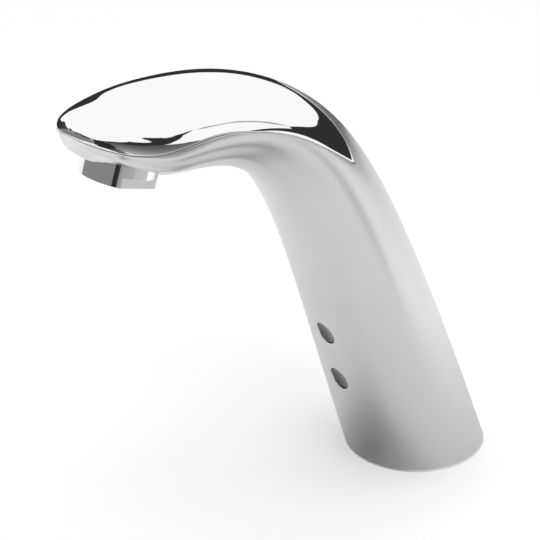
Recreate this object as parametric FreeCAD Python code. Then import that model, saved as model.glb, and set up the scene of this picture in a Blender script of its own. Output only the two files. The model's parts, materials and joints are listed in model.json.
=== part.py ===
import FreeCAD, Part
import math
import os

# Touch-free basin tap, built as its real pieces.  Millimetres, +Z up.
# Origin: centre of the round foot, on the deck.  The spout points along -Y.
# The tap is symmetric about x = 0 outside.

Vector = FreeCAD.Vector
Rotation = FreeCAD.Rotation
Placement = FreeCAD.Placement

X_AXIS = Vector(1, 0, 0)
Y_AXIS = Vector(0, 1, 0)
Z_AXIS = Vector(0, 0, 1)

# ---------------------------------------------------------------- outer form
# The form follows a spine in the plane x = 0, from the nose back over the
# shoulder and down to the foot.  Each list runs over eight stations, evenly
# spaced in the spine's parameter: nose, outlet, brow, neck, shoulder, upper
# column, lower column, foot.
FOOT_RADIUS = 24.5
CIRCLE_HANDLE = 4.0 / 3.0 * (math.sqrt(2.0) - 1.0)
HALF_QUARTER = math.sqrt(0.5)

SPINE_Y = [-147.0, -126.0, -109.0, -82.5, -59.0, -39.0, -17.0, 0.0]
SPINE_Z = [164.0, 157.5, 157.5, 153.0, 136.5, 102.5, 48.0, 0.0]
TILT = [13.0, 1.0, 8.0, 29.0, 45.0, 55.0, 74.0, 90.0]
HALF_WIDTH = [18.0, 25.0, 24.8, 23.8, 23.8, 24.6, 25.2, FOOT_RADIUS]
CROWN = [6.2, 8.2, 8.2, 10.6, 15.0, 18.2, 20.8, FOOT_RADIUS]
BELLY = [10.2, 12.0, 18.4, 19.2, 17.2, 18.0, 20.6, FOOT_RADIUS]
CREASE_OUT = [0.64, 0.73, 0.71, 0.63, 0.65, 0.69, 0.72, HALF_QUARTER]
CREASE_DOWN = [0.42, 0.57, 0.56, 0.62, 0.73, 0.71, 0.72, HALF_QUARTER]
FLANK_TURN = [5.0, 15.0, 24.0, 32.0, 37.0, 41.0, 44.0, 45.0]
BELLY_TURN = [74.0, 72.0, 60.0, 52.0, 54.0, 51.0, 47.0, 45.0]
FULLNESS = [0.51, 0.52, 0.54, 0.58, 0.56, 0.57, 0.55, CIRCLE_HANDLE]
NOSE_PLAN_LENGTH = 42.0
NOSE_SIDE_LENGTH = 24.0
NOSE_FLAT = 0.12
EIGHTH_HANDLE = 0.3465
SECTION_STEPS = [1.0, 2.6, 5.0, 8.5, 13.0, 18.5, 25.0, 33.0, 42.0, 52.0, 63.0,
                 74.0, 86.0, 99.0, 113.0, 129.0, 147.0, 168.0, 192.0, 218.0]

# ------------------------------------------------------------ shells and seat
BODY_WALL = 2.8
COVER_WALL = 2.4
SEAT_WALL = 1.6
FIT_GAP = 0.05
SEAM_GAP = 0.08
# Side view of the seam between the cover and the body, nose to tail.
SEAM_Y = [-156.0, -147.0, -136.0, -122.0, -106.0, -89.0, -71.0, -48.0]
SEAM_Z = [170.4, 164.0, 158.8, 158.1, 158.9, 155.5, 148.0, 131.6]
# Rear edge of the cover: an arch seen square to the back at 45 degrees.
ARCH_TOP = -153.0
ARCH_RATE = 0.054
ARCH_VIEW_TILT = 45.0
SEAT_BELOW_SEAM = 4.0
SEAT_ABOVE_SEAM = 2.4
SEAT_FRONT_Y = -104.5
PEG_RADIUS = 1.5
PEG_X = 16.0
PEG_YS = [-98.0, -74.0]
PEG_LUG_RADIUS = 3.2
PEG_LUG_HEIGHT = 3.0
PEG_LUG_BELOW = 1.5

# -------------------------------------------------------------------- outlet
AERATOR_Y = -126.3
AERATOR_Z = 142.1
AERATOR_TILT = 17.8
RING_RADIUS = 13.0
RING_HEIGHT = 7.5
RING_LIP = 1.0
RING_FLAT_WIDTH = 22.0
RING_FLAT_HEIGHT = 3.4
RING_EDGE = 0.35
THREAD_RADIUS = 12.0
THREAD_LENGTH = 4.2
CARTRIDGE_RADIUS = 10.5
LIP_BORE = 9.4
CARTRIDGE_HEIGHT = 7.2
CARTRIDGE_WALL = 1.0
CARTRIDGE_FLOOR = 1.2
JET_HOLE_RADIUS = 0.75
JET_ROWS = [(0.0, 1), (2.5, 6), (5.0, 12), (7.5, 18)]
SCREEN_THICKNESS = 0.5
SCREEN_HOLE = 1.3
SCREEN_PITCH = 2.2
SEAL_THICKNESS = 1.5
SEAL_WIDTH = 1.9
AERATOR_SEAT = 2.2
SEAT_PAD_RADIUS = 16.0
NOZZLE_RADIUS = 14.2
NOZZLE_ROOF = 1.5
NOZZLE_CAVITY = 1.8
NOZZLE_CHANNEL_RADIUS = 2.2
NOZZLE_SOCKET_RADIUS = 4.7
NOZZLE_SOCKET_REACH = 22.5
SOCKET_DEPTH = 8.0

# ---------------------------------------------------------------- water tube
TUBE_RADIUS = 3.5
TUBE_BORE = 2.5
COLLET_HEIGHT = 2.0
COLLET_WALL = 1.0
TUBE_ARC_SHARE = 0.45

# ----------------------------------------------- valve, in the leaned column
COLUMN_LEAN = 20.5
VALVE_OFFSET = 5.4
VALVE_BLOCK = 22.2
VALVE_CORNER = 2.5
VALVE_FOOT = 21.0
VALVE_HEIGHT = 15.0
MEMBRANE_RADIUS = 8.8
MEMBRANE_RIM = 1.0
MEMBRANE_WEB = 0.6
MEMBRANE_PAD_RADIUS = 5.4
CHAMBER_RADIUS = 7.4
CHAMBER_DEPTH = 5.4
SEAT_TUBE_RADIUS = 4.0
OUTLET_BORE = 2.6
SEAT_DROP = 1.0
PASSAGE_RADIUS = 1.4
PASSAGE_CIRCLE = 5.7
INLET_SOCKET_RADIUS = 5.2
INLET_SOCKET_DEPTH = 3.5
TOWER_X = 14.5
TOWER_RADIUS = 4.6
TOWER_HEIGHT = 17.0
TOWER_SOCKET = 8.0
GALLERY_HEIGHT = 6.0
BONNET_HEIGHT = 5.0
BONNET_CAVITY = 3.4
BONNET_CAVITY_RADIUS = 7.4
GUIDE_LENGTH = 21.0
GUIDE_WALL = 0.7
PLUNGER_RADIUS = 4.1
PLUNGER_LENGTH = 14.0
SLIDE_GAP = 0.08
PLUNGER_TRAVEL = 1.5
PLUNGER_TIP_RADIUS = 2.0
PLUNGER_TIP_DEPTH = 1.8
PLUNGER_TIP_PROUD = 1.0
INSERT_PLATE = 1.4
INSERT_STEM_RADIUS = 1.5
PILOT_RADIUS = 0.5
REST_GAP = 0.1
SPRING_POCKET = 6.0
SPRING_POCKET_RADIUS = 2.5
SPRING_WIRE = 0.25
SPRING_TURNS = 6
POLE_LENGTH = 8.0
POLE_POCKET = 2.4
POLE_STUD_RADIUS = 3.0
POLE_STUD_LENGTH = 5.2
YOKE_PLATE = 1.4
YOKE_WIDTH = 12.0
YOKE_FRONT = 6.5
BOBBIN_RADIUS = 9.4
BOBBIN_FLANGE = 1.2
BOBBIN_CORE = 1.0
BOBBIN_HEIGHT = 18.6
WINDING_INSET = 0.5
COIL_NUT_FLATS = 9.0
COIL_NUT_HEIGHT = 2.6
TERMINAL_SIZE = 5.0
TERMINAL_HEIGHT = 3.0
VALVE_SCREW_RADIUS = 1.25
VALVE_SCREW_HEAD = 2.2
VALVE_SCREW_HEAD_HEIGHT = 1.5
VALVE_SCREW_BITE = 8.0
VALVE_POST_RADIUS = 2.6

# ------------------------------------------------------- check valve and foot
BASE_BORE = 21.2
PLUG_GAP = 0.1
PLUG_DISC_HEIGHT = 5.0
PLUG_BOSS_RADIUS = 9.6
INLET_THREAD_RADIUS = 4.6
INLET_THREAD_LENGTH = 8.0
STRAINER_HEIGHT = 3.0
STRAINER_STEP = 0.3
STRAINER_WALL = 0.5
STRAINER_HOLE = 0.45
STRAINER_HOLES = 8
CHECK_SEAT_RADIUS = 3.2
CHECK_CHAMBER_RADIUS = 5.7
CHECK_CHAMBER_DEPTH = 8.0
POPPET_RADIUS = 4.7
POPPET_DISC = 1.5
POPPET_STEM_RADIUS = 1.2
POPPET_STEM_LENGTH = 6.2
POPPET_TRAVEL = 2.0
CHECK_GUIDE_HEIGHT = 1.6
CHECK_GUIDE_PORTS = 4
CHECK_GUIDE_PORT_RADIUS = 1.1
CHECK_GUIDE_PORT_CIRCLE = 3.7
CHECK_SPRING_RADIUS = 2.6
CHECK_SPRING_WIRE = 0.3
CHECK_SPRING_TURNS = 4
STUD_X = 14.0
STUD_THREAD_RADIUS = 2.5
STUD_BOSS_RADIUS = 4.2
STUD_BOSS_HEIGHT = 11.0
GLAND_Y = -14.0
GLAND_RADIUS = 3.2
GLAND_FLANGE_RADIUS = 4.4
GLAND_FLANGE_HEIGHT = 1.5
GLAND_NECK = 2.0
GLAND_RECESS = 0.4
BASE_SCREW_X = 14.4
BASE_SCREW_Y = 8.4
BASE_SCREW_RADIUS = 1.75
BASE_SCREW_HEAD = 3.2
BASE_SCREW_HEAD_HEIGHT = 1.8
BASE_SCREW_RECESS = 2.4
BASE_SCREW_BITE = 6.0
BASE_LUG_RADIUS = 3.0
BASE_LUG_HEIGHT = 7.5
BASE_SEAL_INNER = 22.0
BASE_SEAL_WIDTH = 1.4
BASE_SEAL_HEIGHT = 1.2
PLUG_SEAL_WIDTH = 1.2
PLUG_SEAL_HEIGHT = 1.6
PLUG_SEAL_Z = 1.8

# --------------------------------------------------------------- sensor unit
SENSOR_Y = -37.85
SENSOR_Z = 45.9
SENSOR_LEAN = 17.5
WINDOW_RADIUS = 4.25
WINDOW_SPACING = 21.0
WINDOW_EDGE = 0.35
LENS_GAP = 0.08
LENS_RECESS = 0.5
LENS_FLANGE = 1.0
LENS_FLANGE_WIDTH = 0.9
LENS_DISH = 0.35
PAD_RADIUS = 6.4
PAD_DEPTH = 4.0
LENS_SEAL_WIDTH = 1.6
HOUSING_FRONT = 5.2
HOUSING_DEPTH = 8.0
HOUSING_WIDTH = 17.0
HOUSING_MARGIN = 0.65
HOUSING_HEIGHT = WINDOW_SPACING + 2.0 * (WINDOW_RADIUS + LENS_SEAL_WIDTH + HOUSING_MARGIN)
HOUSING_WALL = 1.2
SENSOR_LUG = 5.4
SENSOR_LUG_THICKNESS = 2.0
SENSOR_SCREW_RADIUS = 1.25
SENSOR_SCREW_HEAD = 2.2
SENSOR_SCREW_HEAD_HEIGHT = 1.0
SENSOR_SCREW_BITE = 3.0
SENSOR_BOSS_RADIUS = 2.9
BOARD_THICKNESS = 1.2
BOARD_BEHIND_LENS = 2.0
DIODE_RADIUS = 1.9
DIODE_COLLAR = 0.6
RECEIVER_SIZE = 4.0
CHIP_SIZE = 7.0
CHIP_THICKNESS = 1.0

# --------------------------------------------------------------------- leads
SENSOR_LEAD_RADIUS = 1.5
COIL_LEAD_RADIUS = 1.1
COIL_LEAD_X = -3.5
LEAD_RISE = 9.0


# ------------------------------------------------------------------- helpers
def natural_spline(values):
    """Return second derivatives of the natural cubic through even knots."""
    count = len(values)
    diagonal = [1.0] * count
    right = [0.0] * count
    for i in range(1, count - 1):
        bend = 6.0 * (values[i - 1] - 2.0 * values[i] + values[i + 1])
        pivot = 4.0 - (1.0 / diagonal[i - 1] if i > 1 else 0.0)
        carry = right[i - 1] / diagonal[i - 1] if i > 1 else 0.0
        diagonal[i] = pivot
        right[i] = bend - carry
    second = [0.0] * count
    for i in range(count - 2, 0, -1):
        second[i] = (right[i] - second[i + 1]) / diagonal[i]
    return second


def spline_value(values, second, u):
    """Return the natural cubic's value at u, where knots stand at 0, 1, 2."""
    i = min(max(int(math.floor(u)), 0), len(values) - 2)
    t = u - i
    s = 1.0 - t
    straight = s * values[i] + t * values[i + 1]
    bend = (s ** 3 - s) * second[i] + (t ** 3 - t) * second[i + 1]
    return straight + bend / 6.0


class Curve:
    """A smooth run of one size along the stations."""

    def __init__(self, values):
        self.values = values
        self.second = natural_spline(values)

    def at(self, u):
        return spline_value(self.values, self.second, u)


class Form:
    """The tap's outer form, and the same form set in by a wall."""

    SAMPLES = 700

    def __init__(self):
        self.y = Curve(SPINE_Y)
        self.z = Curve(SPINE_Z)
        self.tilt = Curve(TILT)
        self.half_width = Curve(HALF_WIDTH)
        self.crown = Curve(CROWN)
        self.belly = Curve(BELLY)
        self.crease_out = Curve(CREASE_OUT)
        self.crease_down = Curve(CREASE_DOWN)
        self.flank_turn = Curve(FLANK_TURN)
        self.belly_turn = Curve(BELLY_TURN)
        self.fullness = Curve(FULLNESS)
        self.last = len(SPINE_Y) - 1
        self.lengths = [0.0]
        for k in range(self.SAMPLES):
            a = self.spine(self.last * k / self.SAMPLES)
            b = self.spine(self.last * (k + 1) / self.SAMPLES)
            self.lengths.append(self.lengths[-1] + a.distanceToPoint(b))

    def spine(self, u):
        return Vector(0, self.y.at(u), self.z.at(u))

    def station(self, distance):
        """Return the spine parameter at a distance from the nose."""
        low = 0
        high = self.SAMPLES
        while high - low > 1:
            middle = (low + high) // 2
            if self.lengths[middle] < distance:
                low = middle
            else:
                high = middle
        span = self.lengths[high] - self.lengths[low]
        share = (distance - self.lengths[low]) / span
        return self.last * (low + min(share, 1.0)) / self.SAMPLES

    def section(self, distance, inset):
        """Return one closed section, as six cubic arcs, at a distance."""
        u = self.station(distance)
        past_nose = distance - inset
        plan = rounding(past_nose, NOSE_PLAN_LENGTH - inset)
        side = rounding(past_nose, NOSE_SIDE_LENGTH - inset)
        width = self.half_width.at(u)
        belly = self.belly.at(u)
        w = (width - inset) * plan
        up = (self.crown.at(u) - inset) * side
        down = (belly - inset) * side
        corner = inset * HALF_QUARTER
        crease_x = (self.crease_out.at(u) * width - corner) * plan
        crease_n = -(self.crease_down.at(u) * belly - corner) * side
        full = self.fullness.at(u)
        flank = math.radians(self.flank_turn.at(u))
        under = math.radians(self.belly_turn.at(u))
        flank_pull = EIGHTH_HANDLE * math.hypot(w - crease_x, crease_n)
        under_pull = EIGHTH_HANDLE * math.hypot(crease_x, down + crease_n)
        right_side = [
            [(0, up), (full * w, up), (w, full * up), (w, 0)],
            [(w, 0), (w, -flank_pull),
             (crease_x + math.sin(flank) * flank_pull,
              crease_n + math.cos(flank) * flank_pull),
             (crease_x, crease_n)],
            [(crease_x, crease_n),
             (crease_x - math.sin(under) * under_pull,
              crease_n - math.cos(under) * under_pull),
             (under_pull, -down), (0, -down)],
        ]
        left_side = [[(-x, n) for x, n in reversed(arc)] for arc in reversed(right_side)]
        centre = self.spine(u)
        tilt = math.radians(self.tilt.at(u))
        normal = Vector(0, math.sin(tilt), math.cos(tilt))
        edges = []
        for arc in right_side + left_side:
            curve = Part.BezierCurve()
            curve.setPoles([centre + X_AXIS * x + normal * n for x, n in arc])
            edges.append(curve.toShape())
        return Part.Wire(edges)

    def solid(self, inset):
        """Return the closed form set in by inset, cut flat at the foot."""
        total = self.lengths[-1]
        first = inset + NOSE_FLAT
        places = [first] + [first + step for step in SECTION_STEPS] + [total]
        wires = [self.section(place, inset) for place in places]
        return Part.makeLoft(wires, True, False)

    def front_at_height(self, height):
        """Return the front line's point at a height on the column."""
        low = self.last / 2.0
        high = float(self.last)
        for _ in range(50):
            middle = (low + high) / 2.0
            if self.front(middle).z > height:
                low = middle
            else:
                high = middle
        return self.front(low)

    def front(self, u):
        tilt = math.radians(self.tilt.at(u))
        normal = Vector(0, math.sin(tilt), math.cos(tilt))
        return self.spine(u) - normal * self.belly.at(u)


def rounding(distance, length):
    """Return the share of full size at a distance from a rounded end."""
    share = min(max(distance / length, 0.0), 1.0)
    return math.sqrt(1.0 - (1.0 - share) ** 2)


def cylinder(radius, low, high, x=0.0, y=0.0):
    return Part.makeCylinder(radius, high - low, Vector(x, y, low))


def tube(outer, inner, low, high, x=0.0, y=0.0):
    return cylinder(outer, low, high, x, y).cut(cylinder(inner, low, high, x, y))


def block(x, y, z):
    """Return a box from three (low, high) pairs."""
    return Part.makeBox(x[1] - x[0], y[1] - y[0], z[1] - z[0], Vector(x[0], y[0], z[0]))


def bored(radius, start, end):
    """Return a cylinder between two points."""
    along = end - start
    return Part.makeCylinder(radius, along.Length, start, along)


def corner_points(half_x, half_y, centre_y=0.0):
    return [(sx * half_x, centre_y + sy * half_y) for sx in (-1, 1) for sy in (-1, 1)]


def rounded_block(size, corner, low, high, centre_y):
    half = size / 2.0
    solid = block((-half, half), (centre_y - half, centre_y + half), (low, high))
    upright = [e for e in solid.Edges if abs(e.tangentAt(e.FirstParameter).z) > 0.9]
    return solid.makeFillet(corner, upright)


def hexagon(flats, low, high, centre_y):
    corner = flats / math.sqrt(3.0)
    points = []
    for k in range(7):
        angle = math.radians(60.0 * k)
        points.append(Vector(corner * math.cos(angle), centre_y + corner * math.sin(angle), low))
    return Part.Face(Part.makePolygon(points)).extrude(Vector(0, 0, high - low))


def arc_from_tangent(start, tangent, end):
    """Return the arc that leaves start along tangent and reaches end."""
    chord = end - start
    half = chord.Length / 2.0
    along = chord.normalize()
    side = tangent - along * tangent.dot(along)
    if side.Length < 1e-9:
        return Part.LineSegment(start, end).toShape()
    side.normalize()
    angle = math.acos(max(-1.0, min(1.0, tangent.dot(along))))
    middle = (start + end) * 0.5 + side * (half * math.tan(angle / 2.0))
    return Part.Arc(start, middle, end).toShape()


def helix_spring(radius, wire, low, high, turns, centre_y):
    """Return one spring wound from arcs, each pair of them smooth."""
    quarter_count = turns * 4
    rise = high - low - 2.0 * wire
    slope = rise / (turns * 2.0 * math.pi * radius)

    def point(k):
        angle = k * math.pi / 2.0
        return Vector(radius * math.cos(angle), centre_y + radius * math.sin(angle),
                      low + wire + rise * k / quarter_count)

    def heading(k):
        angle = k * math.pi / 2.0
        return Vector(-math.sin(angle), math.cos(angle), slope).normalize()

    edges = []
    for k in range(quarter_count):
        start = point(k)
        end = point(k + 1)
        leave = heading(k)
        arrive = heading(k + 1)
        chord = end - start
        both = leave + arrive
        spread = 2.0 * (1.0 - leave.dot(arrive))
        reach = (-chord.dot(both) + math.sqrt(chord.dot(both) ** 2 + spread * chord.dot(chord)))
        reach = reach / spread
        join = (start + end) * 0.5 + (leave - arrive) * (reach / 2.0)
        edges.append(arc_from_tangent(start, leave, join))
        edges.append(arc_from_tangent(end, arrive * -1.0, join))
    path = Part.Wire(Part.__sortEdges__(edges))
    ring = Part.Wire(Part.makeCircle(wire, point(0), heading(0)))
    return path.makePipeShell([ring], True, False)


def soft_path(points, share):
    """Return straight runs joined by tangent arcs, with their radii."""
    edges = []
    radii = []
    last = points[0]
    for i in range(1, len(points) - 1):
        before = points[i - 1] - points[i]
        after = points[i + 1] - points[i]
        reach = share * min(before.Length, after.Length)
        turn = math.pi - before.getAngle(after)
        radius = reach / math.tan(turn / 2.0)
        enter = points[i] + before.normalize() * reach
        leave = points[i] + after.normalize() * reach
        bisector = (before + after).normalize()
        centre_far = radius / math.cos(turn / 2.0)
        middle = points[i] + bisector * (centre_far - radius)
        edges.append(Part.LineSegment(last, enter).toShape())
        edges.append(Part.Arc(enter, middle, leave).toShape())
        radii.append(radius)
        last = leave
    edges.append(Part.LineSegment(last, points[-1]).toShape())
    return Part.Wire(edges), radii


def hose(points, radius, name):
    """Return a round solid along soft_path, and print its bend radii."""
    path, radii = soft_path(points, TUBE_ARC_SHARE)
    start = points[0]
    ring = Part.Wire(Part.makeCircle(radius, start, points[1] - start))
    solid = path.makePipeShell([ring], True, False)
    expected = math.pi * radius ** 2 * path.Length
    listed = ", ".join("%.1f" % r for r in radii)
    print("%s: length %.1f, radii %s, volume share %.4f"
          % (name, path.Length, listed, solid.Volume / expected))
    return solid


# -------------------------------------------------------------------- frames
COLUMN = Placement(Vector(0, 0, 0), Rotation(X_AXIS, COLUMN_LEAN))
OUTLET = Placement(Vector(0, AERATOR_Y, AERATOR_Z), Rotation(X_AXIS, -AERATOR_TILT))
SENSOR = Placement(Vector(0, SENSOR_Y, SENSOR_Z), Rotation(X_AXIS, SENSOR_LEAN))
# In SENSOR the local +Z runs up the front and the local +Y runs inwards.
LOOK_IN = Rotation(X_AXIS, -90.0)


def placed(shape, placement):
    moved = shape.copy()
    moved.Placement = placement.multiply(moved.Placement)
    return moved


def inward(radius, near, far, x=0.0, z=0.0):
    """Return a cylinder along the sensor frame's local +Y."""
    return Part.makeCylinder(radius, far - near, Vector(x, near, z), Y_AXIS)


# ------------------------------------------------------------ cover and body
def seam_region(grow):
    """Return the space that the cover fills, grown outwards past its seam."""
    points = [Vector(-60, y, z - grow) for y, z in zip(SEAM_Y, SEAM_Z)]
    curve = Part.BSplineCurve()
    curve.interpolate(points)
    first = points[0]
    last = points[-1]
    over_nose = Vector(-60, first.y, 230)
    over_tail = Vector(-60, last.y, 230)
    outline = Part.Wire([curve.toShape(),
                         Part.LineSegment(last, over_tail).toShape(),
                         Part.LineSegment(over_tail, over_nose).toShape(),
                         Part.LineSegment(over_nose, first).toShape()])
    above = Part.Face(outline).extrude(Vector(120, 0, 0))

    tilt = math.radians(ARCH_VIEW_TILT)
    view = Vector(0, math.sin(tilt), math.cos(tilt))
    down_back = Vector(0, math.cos(tilt), -math.sin(tilt))
    arch_points = []
    reach = 36.0
    steps = 12
    for k in range(steps + 1):
        x = -reach + 2.0 * reach * k / steps
        drop = ARCH_TOP + ARCH_RATE * x * x + grow
        arch_points.append(X_AXIS * x + down_back * drop - view * 30.0)
    arch = Part.BSplineCurve()
    arch.interpolate(arch_points)
    far = -260.0
    left = X_AXIS * -reach + down_back * far - view * 30.0
    right = X_AXIS * reach + down_back * far - view * 30.0
    front = Part.Wire([arch.toShape(),
                       Part.LineSegment(arch_points[-1], right).toShape(),
                       Part.LineSegment(right, left).toShape(),
                       Part.LineSegment(left, arch_points[0]).toShape()])
    before_arch = Part.Face(front).extrude(view * 180.0)
    return above.common(before_arch)


def peg_places():
    return [(side * PEG_X, y) for side in (-1, 1) for y in PEG_YS]


def seam_height(y):
    """Return the seam's height at one place along the spout."""
    points = [Vector(0, sy, sz) for sy, sz in zip(SEAM_Y, SEAM_Z)]
    curve = Part.BSplineCurve()
    curve.interpolate(points)
    edge = curve.toShape()
    plumb = Part.LineSegment(Vector(0, y, 0), Vector(0, y, 300)).toShape()
    return edge.distToShape(plumb)[1][0][0].z


def lug_span(y):
    top = seam_height(y) - PEG_LUG_BELOW
    return top - PEG_LUG_HEIGHT, top


class Shells:
    """The body, the polished cover and the seat between them."""

    def __init__(self, form):
        self.form = form
        self.outer = form.solid(0.0)
        self.cavity = form.solid(BODY_WALL)
        self.cover_cavity = form.solid(COVER_WALL)
        self.seat_outer = form.solid(BODY_WALL + FIT_GAP)
        self.seat_cavity = form.solid(BODY_WALL + SEAT_WALL)

    def cover(self):
        shell = self.outer.cut(self.cover_cavity).common(seam_region(-SEAM_GAP / 2.0))
        for x, y in peg_places():
            low, top = lug_span(y)
            peg = cylinder(PEG_RADIUS, low, top + 40.0, x, y).common(self.outer)
            shell = shell.fuse(peg.cut(self.outer.cut(self.cover_cavity)))
        return shell.removeSplitter()

    def seat(self):
        band = seam_region(SEAT_BELOW_SEAM).cut(seam_region(-SEAT_ABOVE_SEAM))
        behind = block((-60, 60), (SEAT_FRONT_Y, 60), (0, 230))
        ring = self.seat_outer.cut(self.seat_cavity).common(band).common(behind)
        for x, y in peg_places():
            low, top = lug_span(y)
            side = 1.0 if x > 0 else -1.0
            outer_x = side * (PEG_X + 20.0)
            bridge = block((min(x, outer_x), max(x, outer_x)),
                           (y - PEG_LUG_RADIUS, y + PEG_LUG_RADIUS), (low, top))
            lug = cylinder(PEG_LUG_RADIUS, low, top, x, y).fuse(bridge)
            ring = ring.fuse(lug.common(self.seat_outer))
        for x, y in peg_places():
            low, top = lug_span(y)
            ring = ring.cut(cylinder(PEG_RADIUS + FIT_GAP, low - 1.0, top + 40.0, x, y))
        return ring.removeSplitter()

    def body(self):
        shell = self.outer.cut(self.cavity)
        shell = shell.cut(seam_region(SEAM_GAP / 2.0))
        shell = shell.fuse(self.outlet_pad())
        shell = shell.fuse(self.sensor_pads())
        shell = shell.fuse(self.base_lugs())
        shell = shell.cut(self.outlet_cuts())
        shell = shell.cut(self.sensor_cuts())
        shell = shell.cut(self.base_cuts())
        return shell.removeSplitter()

    def outlet_pad(self):
        pad = cylinder(SEAT_PAD_RADIUS, RING_HEIGHT - 4.0, RING_HEIGHT + AERATOR_SEAT)
        return placed(pad, OUTLET).common(self.outer)

    def outlet_cuts(self):
        pocket = cylinder(RING_RADIUS + PLUG_GAP, -6.0, RING_HEIGHT)
        hole = cylinder(THREAD_RADIUS + FIT_GAP, 0.0, RING_HEIGHT + AERATOR_SEAT + 4.0)
        clear = cylinder(SEAT_PAD_RADIUS, RING_HEIGHT + AERATOR_SEAT,
                         RING_HEIGHT + AERATOR_SEAT + 1.2)
        return placed(pocket.fuse(hole).fuse(clear), OUTLET)

    def sensor_pads(self):
        pads = None
        for z in window_heights():
            pad = inward(PAD_RADIUS, 1.2, PAD_DEPTH, 0.0, z)
            pads = pad if pads is None else pads.fuse(pad)
        for z in sensor_screw_heights():
            pads = pads.fuse(inward(SENSOR_BOSS_RADIUS, 1.2, HOUSING_FRONT, 0.0, z))
        return placed(pads, SENSOR).common(self.outer)

    def sensor_cuts(self):
        cuts = None
        for z in window_heights():
            hole = inward(WINDOW_RADIUS, -4.0, PAD_DEPTH + 1.0, 0.0, z)
            edge = Part.makeCone(WINDOW_RADIUS + WINDOW_EDGE * 3.0, WINDOW_RADIUS - WINDOW_EDGE,
                                 WINDOW_EDGE * 4.0, Vector(0, -WINDOW_EDGE * 2.0, z), Y_AXIS)
            hole = hole.fuse(edge)
            cuts = hole if cuts is None else cuts.fuse(hole)
        for z in sensor_screw_heights():
            near = HOUSING_FRONT - SENSOR_SCREW_BITE
            cuts = cuts.fuse(inward(SENSOR_SCREW_RADIUS, near, HOUSING_FRONT + 1.0, 0.0, z))
        return placed(cuts, SENSOR)

    def base_lugs(self):
        lugs = None
        for x, y in corner_points(BASE_SCREW_X, BASE_SCREW_Y):
            reach = math.hypot(x, y)
            rib = block((0, 12.0), (-BASE_LUG_RADIUS, BASE_LUG_RADIUS),
                        (PLUG_DISC_HEIGHT, PLUG_DISC_HEIGHT + BASE_LUG_HEIGHT))
            rib.Placement = Placement(Vector(x, y, 0), Rotation(Z_AXIS, math.degrees(math.atan2(y, x))))
            post = cylinder(BASE_LUG_RADIUS, PLUG_DISC_HEIGHT,
                            PLUG_DISC_HEIGHT + BASE_LUG_HEIGHT, x, y)
            lug = post.fuse(rib)
            lugs = lug if lugs is None else lugs.fuse(lug)
        return lugs.common(self.outer)

    def base_cuts(self):
        cuts = cylinder(BASE_BORE, -2.0, PLUG_DISC_HEIGHT)
        cuts = cuts.fuse(tube(BASE_SEAL_INNER + BASE_SEAL_WIDTH, BASE_SEAL_INNER,
                              -2.0, BASE_SEAL_HEIGHT))
        for x, y in corner_points(BASE_SCREW_X, BASE_SCREW_Y):
            top = PLUG_DISC_HEIGHT + BASE_SCREW_BITE
            cuts = cuts.fuse(cylinder(BASE_SCREW_RADIUS, PLUG_DISC_HEIGHT - 1.0, top, x, y))
        return cuts


# -------------------------------------------------------------------- outlet
def thread_top():
    return RING_HEIGHT + THREAD_LENGTH


def aerator_ring():
    ring = cylinder(RING_RADIUS, 0.0, RING_HEIGHT)
    rim = [e for e in ring.Edges if e.BoundBox.ZMax < 0.01 and e.Length > 10.0]
    ring = ring.makeChamfer(RING_EDGE, rim)
    ring = ring.fuse(cylinder(THREAD_RADIUS, RING_HEIGHT, thread_top()))
    ring = ring.cut(cylinder(LIP_BORE, -1.0, thread_top() + 1.0))
    ring = ring.cut(cylinder(CARTRIDGE_RADIUS + FIT_GAP, RING_LIP, thread_top() + 1.0))
    half = RING_FLAT_WIDTH / 2.0
    for side in (-1, 1):
        low_x = min(side * half, side * (RING_RADIUS + 2.0))
        high_x = max(side * half, side * (RING_RADIUS + 2.0))
        ring = ring.cut(block((low_x, high_x), (-RING_RADIUS, RING_RADIUS),
                              (-1.0, RING_FLAT_HEIGHT)))
    return placed(ring.removeSplitter(), OUTLET)


def aerator_cartridge():
    top = RING_LIP + CARTRIDGE_HEIGHT
    cup = cylinder(CARTRIDGE_RADIUS, RING_LIP, top)
    cup = cup.cut(cylinder(CARTRIDGE_RADIUS - CARTRIDGE_WALL, RING_LIP + CARTRIDGE_FLOOR, top + 1.0))
    for radius, count in JET_ROWS:
        for k in range(count):
            angle = 2.0 * math.pi * k / count
            x = radius * math.cos(angle)
            y = radius * math.sin(angle)
            cup = cup.cut(cylinder(JET_HOLE_RADIUS, 0.0, RING_LIP + CARTRIDGE_FLOOR + 1.0, x, y))
    return placed(cup, OUTLET)


def aerator_screen():
    low = RING_LIP + CARTRIDGE_HEIGHT
    screen = cylinder(CARTRIDGE_RADIUS - FIT_GAP, low, low + SCREEN_THICKNESS)
    rows = int((CARTRIDGE_RADIUS - CARTRIDGE_WALL) / SCREEN_PITCH)
    half = SCREEN_HOLE / 2.0
    for i in range(-rows, rows + 1):
        for j in range(-rows, rows + 1):
            x = i * SCREEN_PITCH
            y = j * SCREEN_PITCH
            if math.hypot(x, y) < CARTRIDGE_RADIUS - CARTRIDGE_WALL - SCREEN_HOLE:
                screen = screen.cut(block((x - half, x + half), (y - half, y + half),
                                          (low - 1.0, low + SCREEN_THICKNESS + 1.0)))
    return placed(screen, OUTLET)


def aerator_seal():
    low = thread_top()
    seal = tube(THREAD_RADIUS, THREAD_RADIUS - SEAL_WIDTH, low, low + SEAL_THICKNESS)
    return placed(seal, OUTLET)


def nozzle_axis_height():
    return thread_top() + SEAL_THICKNESS + NOZZLE_CHANNEL_RADIUS


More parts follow.
